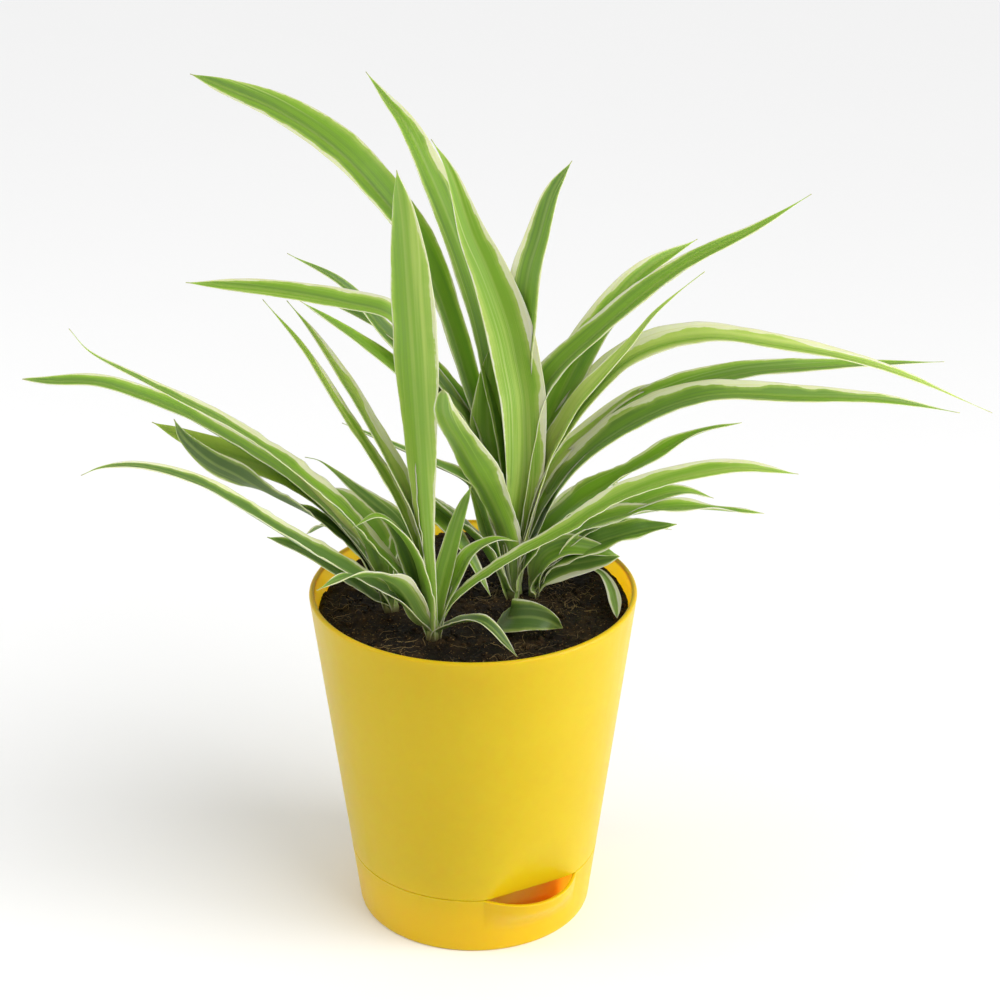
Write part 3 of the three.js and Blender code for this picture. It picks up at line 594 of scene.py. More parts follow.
def pot_shell_surface():
    """Each row is a circle cut by a flat that faces the mouth: r = least(R, d / cos(angle)),
    with its crease rounded. Above the seam the flat leans out as d = 43.2 + 0.278 (z - 24)."""
    height = bpy.context.scene.pot_settings.height / MM
    brim = height - RIM_ROUNDING
    foot = SEAM_HEIGHT + SEAM_GAP / 4
    slant = POT_WALL * math.hypot(1, MOUTH_LEAN)
    inner_skirt = spigot_radius(SKIRT_BOTTOM) - POT_WALL
    inner_floor = spigot_radius(FLOOR_TOP) - POT_WALL
    inner_chute = CHUTE_FLAT - POT_WALL

    def recess(z, inset=0.0):
        return MOUTH_FLAT + MOUTH_LEAN * (z - SEAM_HEIGHT) - inset

    rows = [
        (0, FLOOR_BOTTOM, UNCUT),
        (FLOOR_RING, FLOOR_BOTTOM, UNCUT),
        (inner_skirt, FLOOR_BOTTOM, inner_chute),
        (inner_skirt, SKIRT_BOTTOM, inner_chute),
        (spigot_radius(SKIRT_BOTTOM) - SKIRT_BEVEL, SKIRT_BOTTOM, CHUTE_FLAT - SKIRT_BEVEL),
        (spigot_radius(SKIRT_BOTTOM), SKIRT_BOTTOM + SKIRT_BEVEL, CHUTE_FLAT),
        (spigot_radius(BEAD_HEIGHT - BEAD_HALF), BEAD_HEIGHT - BEAD_HALF, CHUTE_FLAT),
        (spigot_radius(BEAD_HEIGHT) + BEAD_DEPTH, BEAD_HEIGHT, CHUTE_FLAT),
        (spigot_radius(BEAD_HEIGHT + BEAD_HALF), BEAD_HEIGHT + BEAD_HALF, CHUTE_FLAT),
        (spigot_radius(foot), foot, CHUTE_FLAT),
    ]
    edge = corner(cone_radius(foot) - FOOT_EDGE, foot + FOOT_EDGE, FOOT_EDGE, -90, 0)
    rows += [(r, z, recess(foot) + r - cone_radius(foot)) for r, z in edge]
    rows += [(cone_radius(z), z, recess(z)) for z in np.linspace(foot + 1, brim, 60)]
    rim = corner(cone_radius(brim) - RIM_ROUNDING, brim, RIM_ROUNDING, 7, 173, 13)
    rows += [(r, z, recess(z)) for r, z in rim]
    inner = np.linspace(height - 1.5 * RIM_ROUNDING, WALL_FOOT, 40)
    rows += [(cone_radius(z) - POT_WALL, z, recess(z, slant)) for z in inner]
    rows += [
        (cone_radius(STEP_TOP) - STEP_INSET, STEP_TOP, recess(STEP_TOP, slant)),
        (cone_radius(STEP_TOP) - STEP_INSET - 0.1, STEP_TOP - 0.2, inner_chute),
        (inner_floor, FLOOR_TOP + FLOOR_FILLET, inner_chute),
        (inner_floor - FLOOR_FILLET, FLOOR_TOP, inner_chute - FLOOR_FILLET),
        (FLOOR_RING, FLOOR_TOP, UNCUT),
        (0, FLOOR_TOP, UNCUT),
    ]
    radii, heights, flats = np.array(rows, float).T
    wall = radii > cone_radius(heights) - POT_WALL / 2
    below_rim = np.clip((height - RIM_EDGE - heights) / RIM_FADE, 0, 1)
    inside = np.where(wall & (heights > SEAM_HEIGHT), 0.0, below_rim)
    baffled = heights < SKIRT_BOTTOM + 0.1

    def cut(profile, angles):
        front = np.maximum(np.cos(np.radians(angles - MOUTH_ANGLE)), LEAST_FACING)
        radii = soft_least(profile[:, :1], flats[1:-1, None] / front, CREASE)
        away = degrees_from(MOUTH_ANGLE, angles)
        drop = (SKIRT_BOTTOM - BAFFLE_BOTTOM) * eased(BAFFLE_HALF_ANGLE + 0.5 - away)
        return radii, profile[:, 1:] - baffled[1:-1, None] * drop

    return revolved(np.stack([radii, heights], axis=1), cut, inside)


def tray_surface():
    """A shallow cup. Its wall moves out by reach * cos(90 a / 25) * rise(z), where a is the
    angle from the lip's middle, and its rim dips a little there."""
    top = SEAM_HEIGHT - SEAM_GAP / 4
    bead_foot = BEAD_HEIGHT - BEAD_HALF

    def inside(z):
        return cone_radius(z) - TRAY_WALL

    rows = [(0, 0), (FLOOR_RING, 0)]
    rows += corner(cone_radius(0) - TRAY_FOOT_EDGE, TRAY_FOOT_EDGE, TRAY_FOOT_EDGE, -90, -5)
    rows += [(cone_radius(z), z) for z in np.linspace(1.5, top - 0.5, 30)]
    rows += corner(cone_radius(top) - TRAY_EDGE, top - TRAY_EDGE, TRAY_EDGE, 5, 90)
    rows += corner(inside(top) + TRAY_INNER_EDGE, top - TRAY_INNER_EDGE, TRAY_INNER_EDGE, 90, 175)
    rows += [(inside(z), z) for z in np.linspace(top - 1.3, BEAD_HEIGHT + BEAD_HALF, 4)]
    rows += [(inside(BEAD_HEIGHT) + BEAD_DEPTH, BEAD_HEIGHT), (inside(bead_foot), bead_foot)]
    rows += [(inside(z), z) for z in np.linspace(bead_foot - 0.5, TRAY_FLOOR + TRAY_FILLET, 16)]
    rows += [
        (inside(TRAY_FLOOR) - TRAY_FILLET / 3, TRAY_FLOOR + 0.4),
        (inside(TRAY_FLOOR) - TRAY_FILLET, TRAY_FLOOR),
        (FLOOR_RING, TRAY_FLOOR),
        (0, TRAY_FLOOR),
    ]

    def swell(profile, angles):
        away = degrees_from(LIP_ANGLE, angles)
        across = np.cos(np.pi / 2 * np.minimum(away / LIP_HALF_ANGLE, 1))
        heights = profile[:, 1:]
        lip = across * eased((heights - LIP_START) / (LIP_FULL - LIP_START))
        dip = LIP_DIP * lip * eased((heights - LIP_FULL) / (top - LIP_FULL))
        return profile[:, :1] + LIP_REACH * lip, heights - dip

    rim = int(np.argmax([row[1] for row in rows]))
    inner = (np.arange(len(rows)) > rim + 2).astype(float)
    return revolved(rows, swell, inner)


# Soil shapes


def soil_height(x, y):
    """Level of the soil: a slow rise to the back right and a bank against the back wall, with
    lumps of three sizes on it and a low mound about each shoot."""
    relief = bpy.context.scene.soil_settings.relief / MM
    towards = RISE_TOWARDS[0] * x + RISE_TOWARDS[1] * y
    slope = SOIL_RISE * eased((towards - RISE_START) / RISE_WIDTH)
    bank = SOIL_BANK * eased((y - BANK_START) / BANK_WIDTH)
    lumps = sum(share * value_noise(x, y, cell, seed) for share, cell, seed in SOIL_LUMPS)
    mound = np.clip(sum(
        np.exp(-((x - crown["x"]) ** 2 + (y - crown["y"]) ** 2) / MOUND_SPREAD)
        for crown in PLANTS.values()), 0, 1)
    level = SOIL_LEVEL - SOIL_SINK + slope + bank
    return level + relief * lumps * (1 - 0.5 * mound) + MOUND_RISE * mound


def soil_surface():
    """A polar grid of the soil's top, closed below by the pot's inner cone."""
    foot = FLOOR_TOP + SOIL_GAP
    count = 320
    turn = np.linspace(0, 2 * np.pi, count, endpoint=False)
    circle = np.stack([np.cos(turn), np.sin(turn)], axis=-1)
    front = np.maximum(np.cos(turn - math.radians(MOUTH_ANGLE - 90)), LEAST_FACING)

    def wall(z):
        return cone_radius(z) - POT_WALL - SOIL_GAP

    top_radii = np.concatenate([np.linspace(0.35, wall(SOIL_LEVEL) - 0.2, 90), [wall(SOIL_LEVEL)]])
    top = top_radii[:, None, None] * circle
    rings = [np.concatenate([top, soil_height(top[..., 0], top[..., 1])[..., None]], axis=-1)]
    for z, radius in (
        (60, wall(60)),
        (WALL_FOOT + SOIL_GAP, wall(WALL_FOOT)),
        (STEP_TOP + SOIL_GAP, SOIL_NECK_RADIUS),
        (foot + 1, SOIL_FOOT_RADIUS),
        (foot, SOIL_UNDERSIDE_RADIUS),
    ):
        recess = MOUTH_FLAT + MOUTH_LEAN * (z - SEAM_HEIGHT) - RECESS_WALL
        flat = (CHUTE_FLAT - POT_WALL if z < WALL_FOOT else recess) - SOIL_GAP
        radii = np.minimum(radius, flat / front)[:, None]
        rings.append(np.concatenate([radii * circle, np.full((count, 1), z)], axis=1)[None])
    rings = np.concatenate(rings)
    ends = [[0, 0, soil_height(0.0, 0.0)], [0, 0, foot]]
    faces = [group[:, ::-1] for group in closed_tube(len(rings), count)]
    return np.vstack([rings.reshape(-1, 3), ends]), faces


def crumb_lumps(count):
    """Lumps scattered over the soil: an icosahedron each, squashed and stretched at random."""
    rng = np.random.default_rng(21)
    golden = (1 + 5**0.5) / 2
    corners = np.array([
        (-1, golden, 0), (1, golden, 0), (-1, -golden, 0), (1, -golden, 0),
        (0, -1, golden), (0, 1, golden), (0, -1, -golden), (0, 1, -golden),
        (golden, 0, -1), (golden, 0, 1), (-golden, 0, -1), (-golden, 0, 1),
    ]) / math.hypot(1, golden)
    sides = np.array([
        (0, 11, 5), (0, 5, 1), (0, 1, 7), (0, 7, 10), (0, 10, 11), (1, 5, 9), (5, 11, 4),
        (11, 10, 2), (10, 7, 6), (7, 1, 8), (3, 9, 4), (3, 4, 2), (3, 2, 6), (3, 6, 8),
        (3, 8, 9), (4, 9, 5), (2, 4, 11), (6, 2, 10), (8, 6, 7), (9, 8, 1),
    ])
    reach = CRUMB_REACH * np.sqrt(rng.uniform(0, 1, count))
    turn = rng.uniform(0, 2 * np.pi, count)
    x, y = reach * np.cos(turn), reach * np.sin(turn)
    size = CRUMB_SIZE + rng.uniform(0, 1, count) ** 3
    stretch = rng.uniform(0.6, 1.4, (count, 1, 3)) * size[:, None, None]
    bumps = rng.uniform(0.75, 1.25, (count, 12, 1))
    centre = np.stack([x, y, soil_height(x, y) + 0.1 * size], axis=-1)
    vertices = centre[:, None] + corners * stretch * bumps
    faces = sides + 12 * np.arange(count)[:, None, None]
    return vertices.reshape(-1, 3), [faces.reshape(-1, 3)]


def fibre_strands(count):
    """Thin closed tubes in loose tufts on the soil: each heading turns at a random steady rate."""
    rng = np.random.default_rng(34)
    steps, sides = 12, 5
    s = np.linspace(0, 1, steps)
    tufts = np.array(FIBRE_TUFTS)[rng.integers(0, len(FIBRE_TUFTS), count)]
    start = tufts[:, :2] + tufts[:, 2:] * rng.normal(0, 1, (count, 2))
    length = rng.uniform(3, 11, count)
    heading = rng.uniform(0, 2 * np.pi, (count, 1)) + rng.normal(0, 1.3, (count, 1)) * s
    heading = heading + 0.5 * np.sin(2 * np.pi * s * rng.uniform(0.5, 1.6, (count, 1)))
    step = (length / steps)[:, None]
    x = start[:, :1] + np.cumsum(np.cos(heading) * step, axis=1)
    y = start[:, 1:] + np.cumsum(np.sin(heading) * step, axis=1)
    hump = rng.uniform(-0.2, 1.1, (count, 1)) * np.sin(np.pi * s)
    centre = np.stack([x, y, soil_height(x, y) + FIBRE_LIFT + hump], axis=-1)
    thick = (rng.uniform(0.06, 0.16, (count, 1)) * (1 - 0.6 * s**2))[..., None, None]
    around = np.linspace(0, 2 * np.pi, sides, endpoint=False)[:, None]
    side = np.stack([-np.sin(heading), np.cos(heading), np.zeros_like(heading)], axis=-1)
    up = np.array([0.0, 0.0, 1.0])
    ring = centre[:, :, None] + thick * (np.cos(around) * side[:, :, None] + np.sin(around) * up)
    ring = ring[np.hypot(ring[..., 0], ring[..., 1]).max(axis=(1, 2)) < FIBRE_REACH]
    first = steps * sides * np.arange(len(ring))[:, None]
    tubes = (first[..., None] + ring_faces(steps, sides)).reshape(-1, 4)
    near_ends = first + np.arange(sides)[::-1]
    far_ends = first + (steps - 1) * sides + np.arange(sides)
    return ring.reshape(-1, 3), [tubes, near_ends, far_ends]


# Leaf shapes


def width_share(t, shape):
    """Share of the widest width: base + (1 - base) sin^rise up to the peak, then
    (1 - x^1.4)^tip down to the tip, whose last fifth is drawn to a point by sin^point."""
    rising = shape["base"] + (1 - shape["base"]) * np.sin(
        np.pi / 2 * np.clip(t / shape["peak"], 0, 1)) ** shape["rise"]
    x = np.clip((t - shape["peak"]) / (1 - shape["peak"]), 0, 1)
    drawn = np.sin(np.pi / 2 * np.clip((1 - x) / DRAWN_TIP, 0, 1)) ** shape["point"]
    return np.where(t < shape["peak"], rising, (1 - x**1.4) ** shape["tip"] * drawn)


def blade_surface(crown, shape, seed):
    """A folded blade of thickness h along a midrib C(t), with side W, normal N and half width w:
    C + u w cos(f) W + (w sin(f) (|u| - 1/2) + wave + h/2) N, for u from -1 to 1, and the same
    with -h/2 below. The two faces join at the margins and ends, so the blade is closed."""
    heading = math.radians(shape["heading"])
    ahead = np.array([math.cos(heading), math.sin(heading), 0.0])
    aside = np.array([-math.sin(heading), math.cos(heading), 0.0])
    origin = np.array([crown["x"], crown["y"], SOIL_LEVEL], float)
    marks = np.array([(*mark, 0.0)[:3] for mark in (*ROOT_POINTS, *shape["midrib"])])
    knots = origin + marks @ np.stack([ahead, (0.0, 0.0, 1.0), aside])
    rough_length = np.linalg.norm(np.diff(knots, axis=0), axis=1).sum()
    steps = int(max(BLADE_LEAST_ROWS, rough_length / BLADE_ROW))
    middle, length = rounded_path(knots, steps)
    share = np.linspace(0, 1, steps + 1)
    along = np.gradient(middle, axis=0)
    along /= np.linalg.norm(along, axis=1)[:, None]
    side = aside - (along @ aside)[:, None] * along
    side /= np.linalg.norm(side, axis=1)[:, None]
    normal = np.cross(along, side)
    roll = np.radians(blend(share, shape["roll"]))[:, None]
    side, normal = (
        side * np.cos(roll) + normal * np.sin(roll),
        normal * np.cos(roll) - side * np.sin(roll),
    )

    t = share[:, None]
    u = np.concatenate([[-1, -0.965], np.linspace(-0.88, 0.88, BLADE_COLUMNS - 3), [0.965, 1]])
    half = np.maximum(shape["width"] * width_share(t, shape), LEAST_WIDTH) / 2
    fold = np.radians(STALK_FOLD + (shape["fold"] - STALK_FOLD) * np.clip(t / STALK_END, 0, 1))
    height, count, phase = shape["wave"]
    swing = np.sin(2 * np.pi * count * t + phase + 1.3 * np.sign(u)) * u**2
    wave = height * np.sin(np.pi * t) ** 0.7 * swing
    rng = np.random.default_rng(seed)
    for k in FLUTTER_TONES:
        start, lean = rng.uniform(0, 6.3), rng.uniform(0.5, 2)
        flutter = FLUTTER / k * np.sin(2 * np.pi * k * length / FLUTTER_LENGTH * t + start + u * lean)
        wave = wave + flutter * u**2 * np.sin(np.pi * t)
    travel = length * t + SIDE_SHIFT * np.sign(u) + SEED_SHIFT * seed
    ripple = value_noise(travel, 0.5, RIPPLE_CELL, seed)
    ripple = ripple + 0.6 * value_noise(travel, 7.5, RIPPLE_CELL / 2, seed)
    calm = np.sin(np.pi * np.clip(1.6 * t - 0.15, 0, 1)) ** 0.5
    wave = wave + shape["crinkle"] * calm * ripple * u**4
    wander = 1 + WANDER * value_noise(travel, 3.5, WANDER_CELL, seed)
    flat = half * np.cos(fold) * u * wander
    lift = half * np.sin(fold) * (np.sqrt(u**2 + 0.004) - 0.5) + wave
    thick = bpy.context.scene.leaf_settings.thickness / MM
    slim = np.clip(half / FULL_THICKNESS_HALF_WIDTH, 0.4, 1)
    skin = thick / 2 * (1 - EDGE_THINNING * np.abs(u)) * slim
    sheet = middle[:, None] + flat[..., None] * side[:, None]
    above = sheet + (lift + skin)[..., None] * normal[:, None]
    below = sheet + (lift - skin)[..., None] * normal[:, None]
    ring = np.concatenate([above, below[:, ::-1]], axis=1)

    points = 2 * len(u)
    i = np.arange(len(u) - 1)
    root_end = np.stack([i, i + 1, points - 2 - i, points - 1 - i], axis=1)
    tip_end = root_end[:, ::-1] + steps * points
    faces = [ring_faces(steps + 1, points)[:, ::-1], root_end, tip_end]

    def layer(*parts):
        spread = [np.broadcast_to(part, (steps + 1, points)) for part in parts]
        return np.stack(spread, axis=-1).reshape(-1, 3)

    return ring.reshape(-1, 3), faces, dict(
        blade_place=layer(np.concatenate([u, u[::-1]]), t * length, float(seed % 17)),
        blade_form=layer(half, t, np.repeat([1.0, 0.0], len(u))),
        blade_tint=layer(*shape["margins"], shape["light"]),
    )


def stem_surface(crown):
    """A short stem of wrapped leaf bases: r = R(z) (1 + 0.06 cos(5 a + z / 4)), closed at both
    ends."""
    count, rows = 40, 18
    x, y, height = crown["x"], crown["y"], crown["height"]
    z = np.linspace(-STEM_DEPTH, STEM_HEIGHT_SHARE * height, rows)[:, None]
    turn = np.linspace(0, 2 * np.pi, count, endpoint=False)
    taper = STEM_RADIUS_SHARE * crown["radius"] * (1 - 0.5 * eased((z - 1) / height))
    radii = taper * (1 + 0.06 * np.cos(5 * turn + 0.25 * z))
    level = np.broadcast_to(SOIL_LEVEL + z, radii.shape)
    rings = np.stack([x + radii * np.cos(turn), y + radii * np.sin(turn), level], axis=-1)
    ends = [[x, y, level[0, 0]], [x, y, level[-1, 0] + 1]]
    vertices = np.vstack([rings.reshape(-1, 3), ends])
    place = np.tile([0.3, 0.0, 4.0], (len(vertices), 1))
    place[:, 1] = np.clip(vertices[:, 2] - SOIL_LEVEL + 8, 0, None)
    layers = dict(
        blade_place=place,
        blade_form=np.tile([3.0, 0.02, 1.0], (len(vertices), 1)),
        blade_tint=np.tile([0.2, 0.2, 0.5], (len(vertices), 1)),
    )
    return vertices, closed_tube(rows, count), layers


def joined(parts):
    """One set of vertices, faces and attributes from several."""
    vertices, faces, layers, start = [], [], {}, 0
    for points, sides, values in parts:
        vertices.append(points)
        faces += [group + start for group in sides]
        for label, layer in values.items():
            layers.setdefault(label, []).append(layer)
        start += len(points)
    return np.vstack(vertices), faces, {label: np.vstack(layer) for label, layer in layers.items()}


# Materials


class Graph:
    """Adds nodes to a tree by short calls. Each call gives the node's output socket."""

    def __init__(self, tree):
        self.tree = tree
        self.count = 0

    def add(self, kind, **settings):
        node = self.tree.nodes.new(kind)
        node.location = (200 * (self.count % 8) - 1600, 260 - 240 * (self.count // 8))
        self.count += 1
        for name, value in settings.items():
            setattr(node, name, value)
        return node

    def feed(self, socket, value):
        """Links a socket, or sets its value where a number or colour is given."""
        if isinstance(value, bpy.types.NodeSocket):
            self.tree.links.new(value, socket)
        elif isinstance(value, (tuple, list)) and len(value) == 3 and socket.type == "RGBA":
            socket.default_value = (*value, 1.0)
        else:
            socket.default_value = value

    def fill(self, node, values):
        """Feeds several inputs of a node, by their names or numbers, and gives the node."""
        for name, value in values.items():
            self.feed(node.inputs[name], value)
        return node

    def math(self, operation, a, b=0.0, clamp=False):
        node = self.add("ShaderNodeMath", operation=operation, use_clamp=clamp)
        return self.fill(node, {0: a, 1: b}).outputs[0]

    def times(self, a, b):
        return self.math("MULTIPLY", a, b)

    def plus(self, a, b, clamp=False):
        return self.math("ADD", a, b, clamp)

    def minus(self, a, b):
        return self.math("SUBTRACT", a, b)

    def between(self, value, low, high, start=0.0, end=1.0):
        """Eases from start to end as the value goes from low to high."""
        node = self.add("ShaderNodeMapRange", interpolation_type="SMOOTHSTEP")
        ends = {"From Min": low, "From Max": high, "To Min": start, "To Max": end}
        return self.fill(node, {"Value": value, **ends}).outputs["Result"]

    def mix(self, factor, a, b):
        """Colour a where the factor is 0, and b where it is 1."""
        node = self.add("ShaderNodeMix", data_type="RGBA", clamp_factor=True)
        return self.fill(node, {0: factor, 6: a, 7: b}).outputs[2]

    def vector(self, x, y, z):
        return self.fill(self.add("ShaderNodeCombineXYZ"), {0: x, 1: y, 2: z}).outputs[0]

    def parts(self, name):
        """The three numbers of a point attribute."""
        source = self.add("ShaderNodeAttribute", attribute_name=name, attribute_type="GEOMETRY")
        return self.fill(self.add("ShaderNodeSeparateXYZ"), {0: source.outputs["Vector"]}).outputs

    def noise(self, vector, scale, detail=3.0, roughness=0.5):
        node = self.add("ShaderNodeTexNoise", noise_dimensions="3D")
        values = {"Vector": vector, "Scale": scale, "Detail": detail, "Roughness": roughness}
        return self.fill(node, values).outputs["Fac"]

    def object_place(self):
        return self.add("ShaderNodeTexCoord").outputs["Object"]

    def bump(self, height, distance, strength=1.0):
        node = self.add("ShaderNodeBump")
        values = {"Height": height, "Distance": distance, "Strength": strength}
        return self.fill(node, values).outputs["Normal"]

    def grain(self, **inputs):
        """The shared unevenness. Gives its mask and its height."""
        node = self.fill(self.add("ShaderNodeGroup", node_tree=grain_group()), inputs)
        return node.outputs["Mask"], node.outputs["Height"]


def grain_group():
    """Shared unevenness at three sizes: broad clouds, mottling and fine grain. Mask is a mix of
    them about 0.5, and Height is the fine part for a bump."""
    name = "grain"
    if name in bpy.data.node_groups:
        return bpy.data.node_groups[name]
    tree = bpy.data.node_groups.new(name, "ShaderNodeTree")
    tree.interface.new_socket("Place", in_out="INPUT", socket_type="NodeSocketVector")
    for label, value in (("Broad", 30.0), ("Middle", 160.0), ("Fine", 1400.0), ("Stretch", 1.0)):
        socket = tree.interface.new_socket(label, in_out="INPUT", socket_type="NodeSocketFloat")
        socket.default_value = value
    for label in ("Mask", "Height"):
        tree.interface.new_socket(label, in_out="OUTPUT", socket_type="NodeSocketFloat")
    graph = Graph(tree)
    source = graph.add("NodeGroupInput").outputs
    scaled = graph.add("ShaderNodeVectorMath", operation="MULTIPLY")
    graph.fill(scaled, {0: source["Place"], 1: graph.vector(1.0, 1.0, source["Stretch"])})
    place = scaled.outputs[0]
    broad = graph.noise(place, source["Broad"], 2.0)
    middle = graph.noise(place, source["Middle"], 3.0)
    fine = graph.noise(place, source["Fine"], 4.0, 0.6)
    soft = graph.plus(graph.times(broad, 0.5), graph.times(middle, 0.3))
    mask = graph.plus(soft, graph.times(fine, 0.2))
    height = graph.plus(graph.times(middle, 0.4), graph.times(fine, 0.6))
    graph.fill(graph.add("NodeGroupOutput"), {"Mask": mask, "Height": height})
    return tree


def scaled(colour, *shares):
    """A colour with its red, green and blue multiplied, each kept to 1 at most."""
    return tuple(min(1.0, part * share) for part, share in zip(colour, shares))


def fresh_material(name):
    """A material with a Principled shader. Gives the material, its graph and the shader."""
    material = bpy.data.materials.new(name)
    material.use_nodes = True
    return material, Graph(material.node_tree), material.node_tree.nodes["Principled BSDF"]


def pot_plastic():
    """Satin moulded plastic: slight clouding in the yellow, a fine mould texture and faint
    vertical flow marks. The foot is painted a more orange yellow as bounce light from the floor,
    the inside a deeper orange as painted light through the thin plastic, and a painted glow
    stands in for the light that comes through the thin wall at the right end of the mouth."""
    pot = bpy.context.scene.pot_settings
    material, graph, shader = fresh_material("yellow moulded plastic")
    place = graph.object_place()
    cloud, pits = graph.grain(Place=place, Broad=22.0, Middle=240.0, Fine=2200.0)
    flow, _ = graph.grain(Place=place, Broad=60.0, Middle=300.0, Fine=900.0, Stretch=0.06)
    inside, height_share, right_share = graph.parts("mould_place")

    deeper = scaled(pot.plastic, 0.98, 0.96, 0.8)
    lighter = scaled(pot.plastic, 1.01, 1.03, 1.3)
    # Painted bounce light: the lowest part, mostly the tray, is mixed towards a more orange yellow for the
    # light that the floor throws back on it.
    painted_bounce = scaled(pot.plastic, 1.16, 1.05, 0.7)
    colour = graph.mix(graph.between(cloud, 0.3, 0.7), deeper, lighter)
    colour = graph.mix(graph.between(height_share, 0.1, 0.26, 1.0, 0.0), colour, painted_bounce)
    # Painted light: the inside gets a deeper orange for the light that comes through the thin plastic and
    # bounces between the walls.
    inner = graph.mix(graph.between(height_share, 0.2, 0.6), (0.95, 0.46, 0.06), (1.0, 0.53, 0.09))
    low = graph.between(height_share, 0.16, 0.2, 1.0, 0.0)
    # Painted glow, given as emission: the inside low at the right end of the mouth, where light comes
    # through the thin wall.
    lit = graph.times(graph.times(graph.between(right_share, 0.66, 0.88), low), inside)
    height = graph.plus(pits, graph.times(flow, 0.6))
    graph.fill(shader, {
        "Base Color": graph.mix(inside, colour, inner),
        "Roughness": graph.between(flow, 0.3, 0.7, pot.roughness - 0.05, pot.roughness + 0.07),
        "Normal": graph.bump(height, 0.00006, 0.6),
        "Emission Color": graph.mix(lit, (0.0, 0.0, 0.0), (1.0, 0.42, 0.02)),
        "Subsurface Scale": graph.between(inside, 0.0, 1.0, 0.003, 0.026),
    })
    shader.inputs["Emission Strength"].default_value = 0.5
    shader.inputs["Specular IOR Level"].default_value = 0.25
    shader.inputs["Subsurface Weight"].default_value = 1.0
    shader.inputs["Subsurface Radius"].default_value = (1.0, 0.5, 0.06)
    return material


def leaf_blade():
    """Striped blade: green with lengthwise streaks, a limed edge, cream margins, a pale midrib,
    a pale foot that is earthy at the soil, and a dry tip. The underside is duller."""
    leaves = bpy.context.scene.leaf_settings
    material, graph, shader = fresh_material("striped leaf")
    u, travelled, seed = graph.parts("blade_place")
    half, share, upper = graph.parts("blade_form")
    right, left, light = graph.parts("blade_tint")
    across = graph.times(u, half)
    from_rib = graph.math("ABSOLUTE", u)
    moved = graph.times(seed, LEAF_SHIFT)

    def streaks(cells_across, cells_along, start, detail):
        """Noise that is drawn out along the blade, with so many cells to the millimetre."""
        place = graph.vector(
            graph.times(across, cells_across), graph.times(travelled, cells_along), start)
        return graph.noise(place, 1.0, detail)

    fine = streaks(1.7, 0.012, moved, 2.0)
    broad = streaks(0.32, 0.009, moved, 2.0)
    threads = streaks(1.15, 0.006, graph.plus(moved, THREAD_SHIFT), 1.0)
    veins = streaks(3.2, 0.02, moved, 3.0)
    drift = graph.noise(graph.vector(0.0, graph.times(travelled, 0.05), moved), 1.0, 2.0)
    nicks = graph.vector(graph.math("SIGN", u), graph.times(travelled, 0.4), moved)
    ragged = graph.noise(nicks, 1.0, 3.0)

    margin = graph.add("ShaderNodeMix", data_type="FLOAT")
    graph.fill(margin, {0: graph.between(u, -0.001, 0.001, 1.0, 0.0), 2: left, 3: right})
    width = graph.times(margin.outputs[0], graph.between(drift, 0.3, 0.7, 0.4, 1.5))
    width = graph.times(width, graph.between(share, 0.06, 0.34, 0.3, 1.0))
    uneven = graph.times(graph.minus(graph.plus(fine, ragged), 1.0), 0.12)
    past_edge = graph.minus(from_rib, graph.minus(graph.minus(1.0, width), uneven))
    cream = graph.between(past_edge, -0.03, 0.03)
    limed = graph.between(past_edge, -0.30, 0.0, 0.0, 0.5)

    # tone follows each leaf's light, which is partly the leaf's own tone and partly painted light and
    # shade for how lit the leaf lies.
    tone = graph.plus(light, graph.times(graph.minus(broad, 0.5), 1.1))
    tone = graph.plus(tone, graph.times(graph.minus(fine, 0.5), 0.45), clamp=True)
    green = graph.mix(graph.between(tone, 0.0, 0.55), tuple(leaves.dark), tuple(leaves.green))
    green = graph.mix(graph.between(tone, 0.5, 1.05), green, tuple(leaves.lime))
    # Painted shade: below a light of 0 the green is mixed towards a near-black green for the leaves that
    # lie in shade, and the stripes below fade on them.
    green = graph.mix(graph.between(light, -0.4, 0.0, 0.7, 0.0), green, (0.03, 0.06, 0.01))
    green = graph.mix(limed, green, tuple(leaves.lime))
    rib = graph.between(graph.math("ABSOLUTE", across), 0.1, 0.9, 0.3, 0.0)
    green = graph.mix(rib, green, (0.37, 0.48, 0.11))
    stripe = graph.between(threads, 0.58, 0.72, 0.0, 0.55)
    stripe = graph.times(stripe, graph.between(from_rib, 0.25, 0.6))
    stripe = graph.times(stripe, graph.between(light, -0.3, 0.0, 0.2, 1.0))
    green = graph.mix(stripe, green, (0.48, 0.55, 0.18))
    whiter = scaled(leaves.cream, 1.06, 1.06, 1.35)
    band = graph.mix(graph.between(fine, 0.35, 0.65), tuple(leaves.cream), whiter)
    colour = graph.mix(cream, green, band)

    foot = graph.between(travelled, 9.0, 36.0, 0.5, 0.0)
    # The pale foot is fainter on leaves of low light, which is partly painted shade.
    foot = graph.times(foot, graph.between(light, 0.1, 0.5, 0.2, 1.0))
    colour = graph.mix(foot, colour, (0.52, 0.58, 0.27))
    earthy = graph.between(travelled, 8.2, 12.5, 0.88, 0.0)
    colour = graph.mix(earthy, colour, (0.11, 0.075, 0.032))
    dry = graph.between(share, 0.984, 0.998, 0.0, 0.6)
    colour = graph.mix(dry, colour, (0.34, 0.28, 0.15))
    dull = graph.times(graph.minus(1.0, upper), 0.12)
    graph.fill(shader, {
        "Base Color": graph.mix(dull, colour, (0.24, 0.37, 0.10)),
        "Roughness": graph.between(fine, 0.3, 0.7, 0.36, 0.5),
        "Normal": graph.bump(veins, 0.00016, 0.7),
    })
    shader.inputs["Specular IOR Level"].default_value = 0.38
    shader.inputs["Subsurface Weight"].default_value = 0.6
    shader.inputs["Subsurface Radius"].default_value = (0.8, 1.0, 0.4)
    shader.inputs["Subsurface Scale"].default_value = 0.0013
    return material


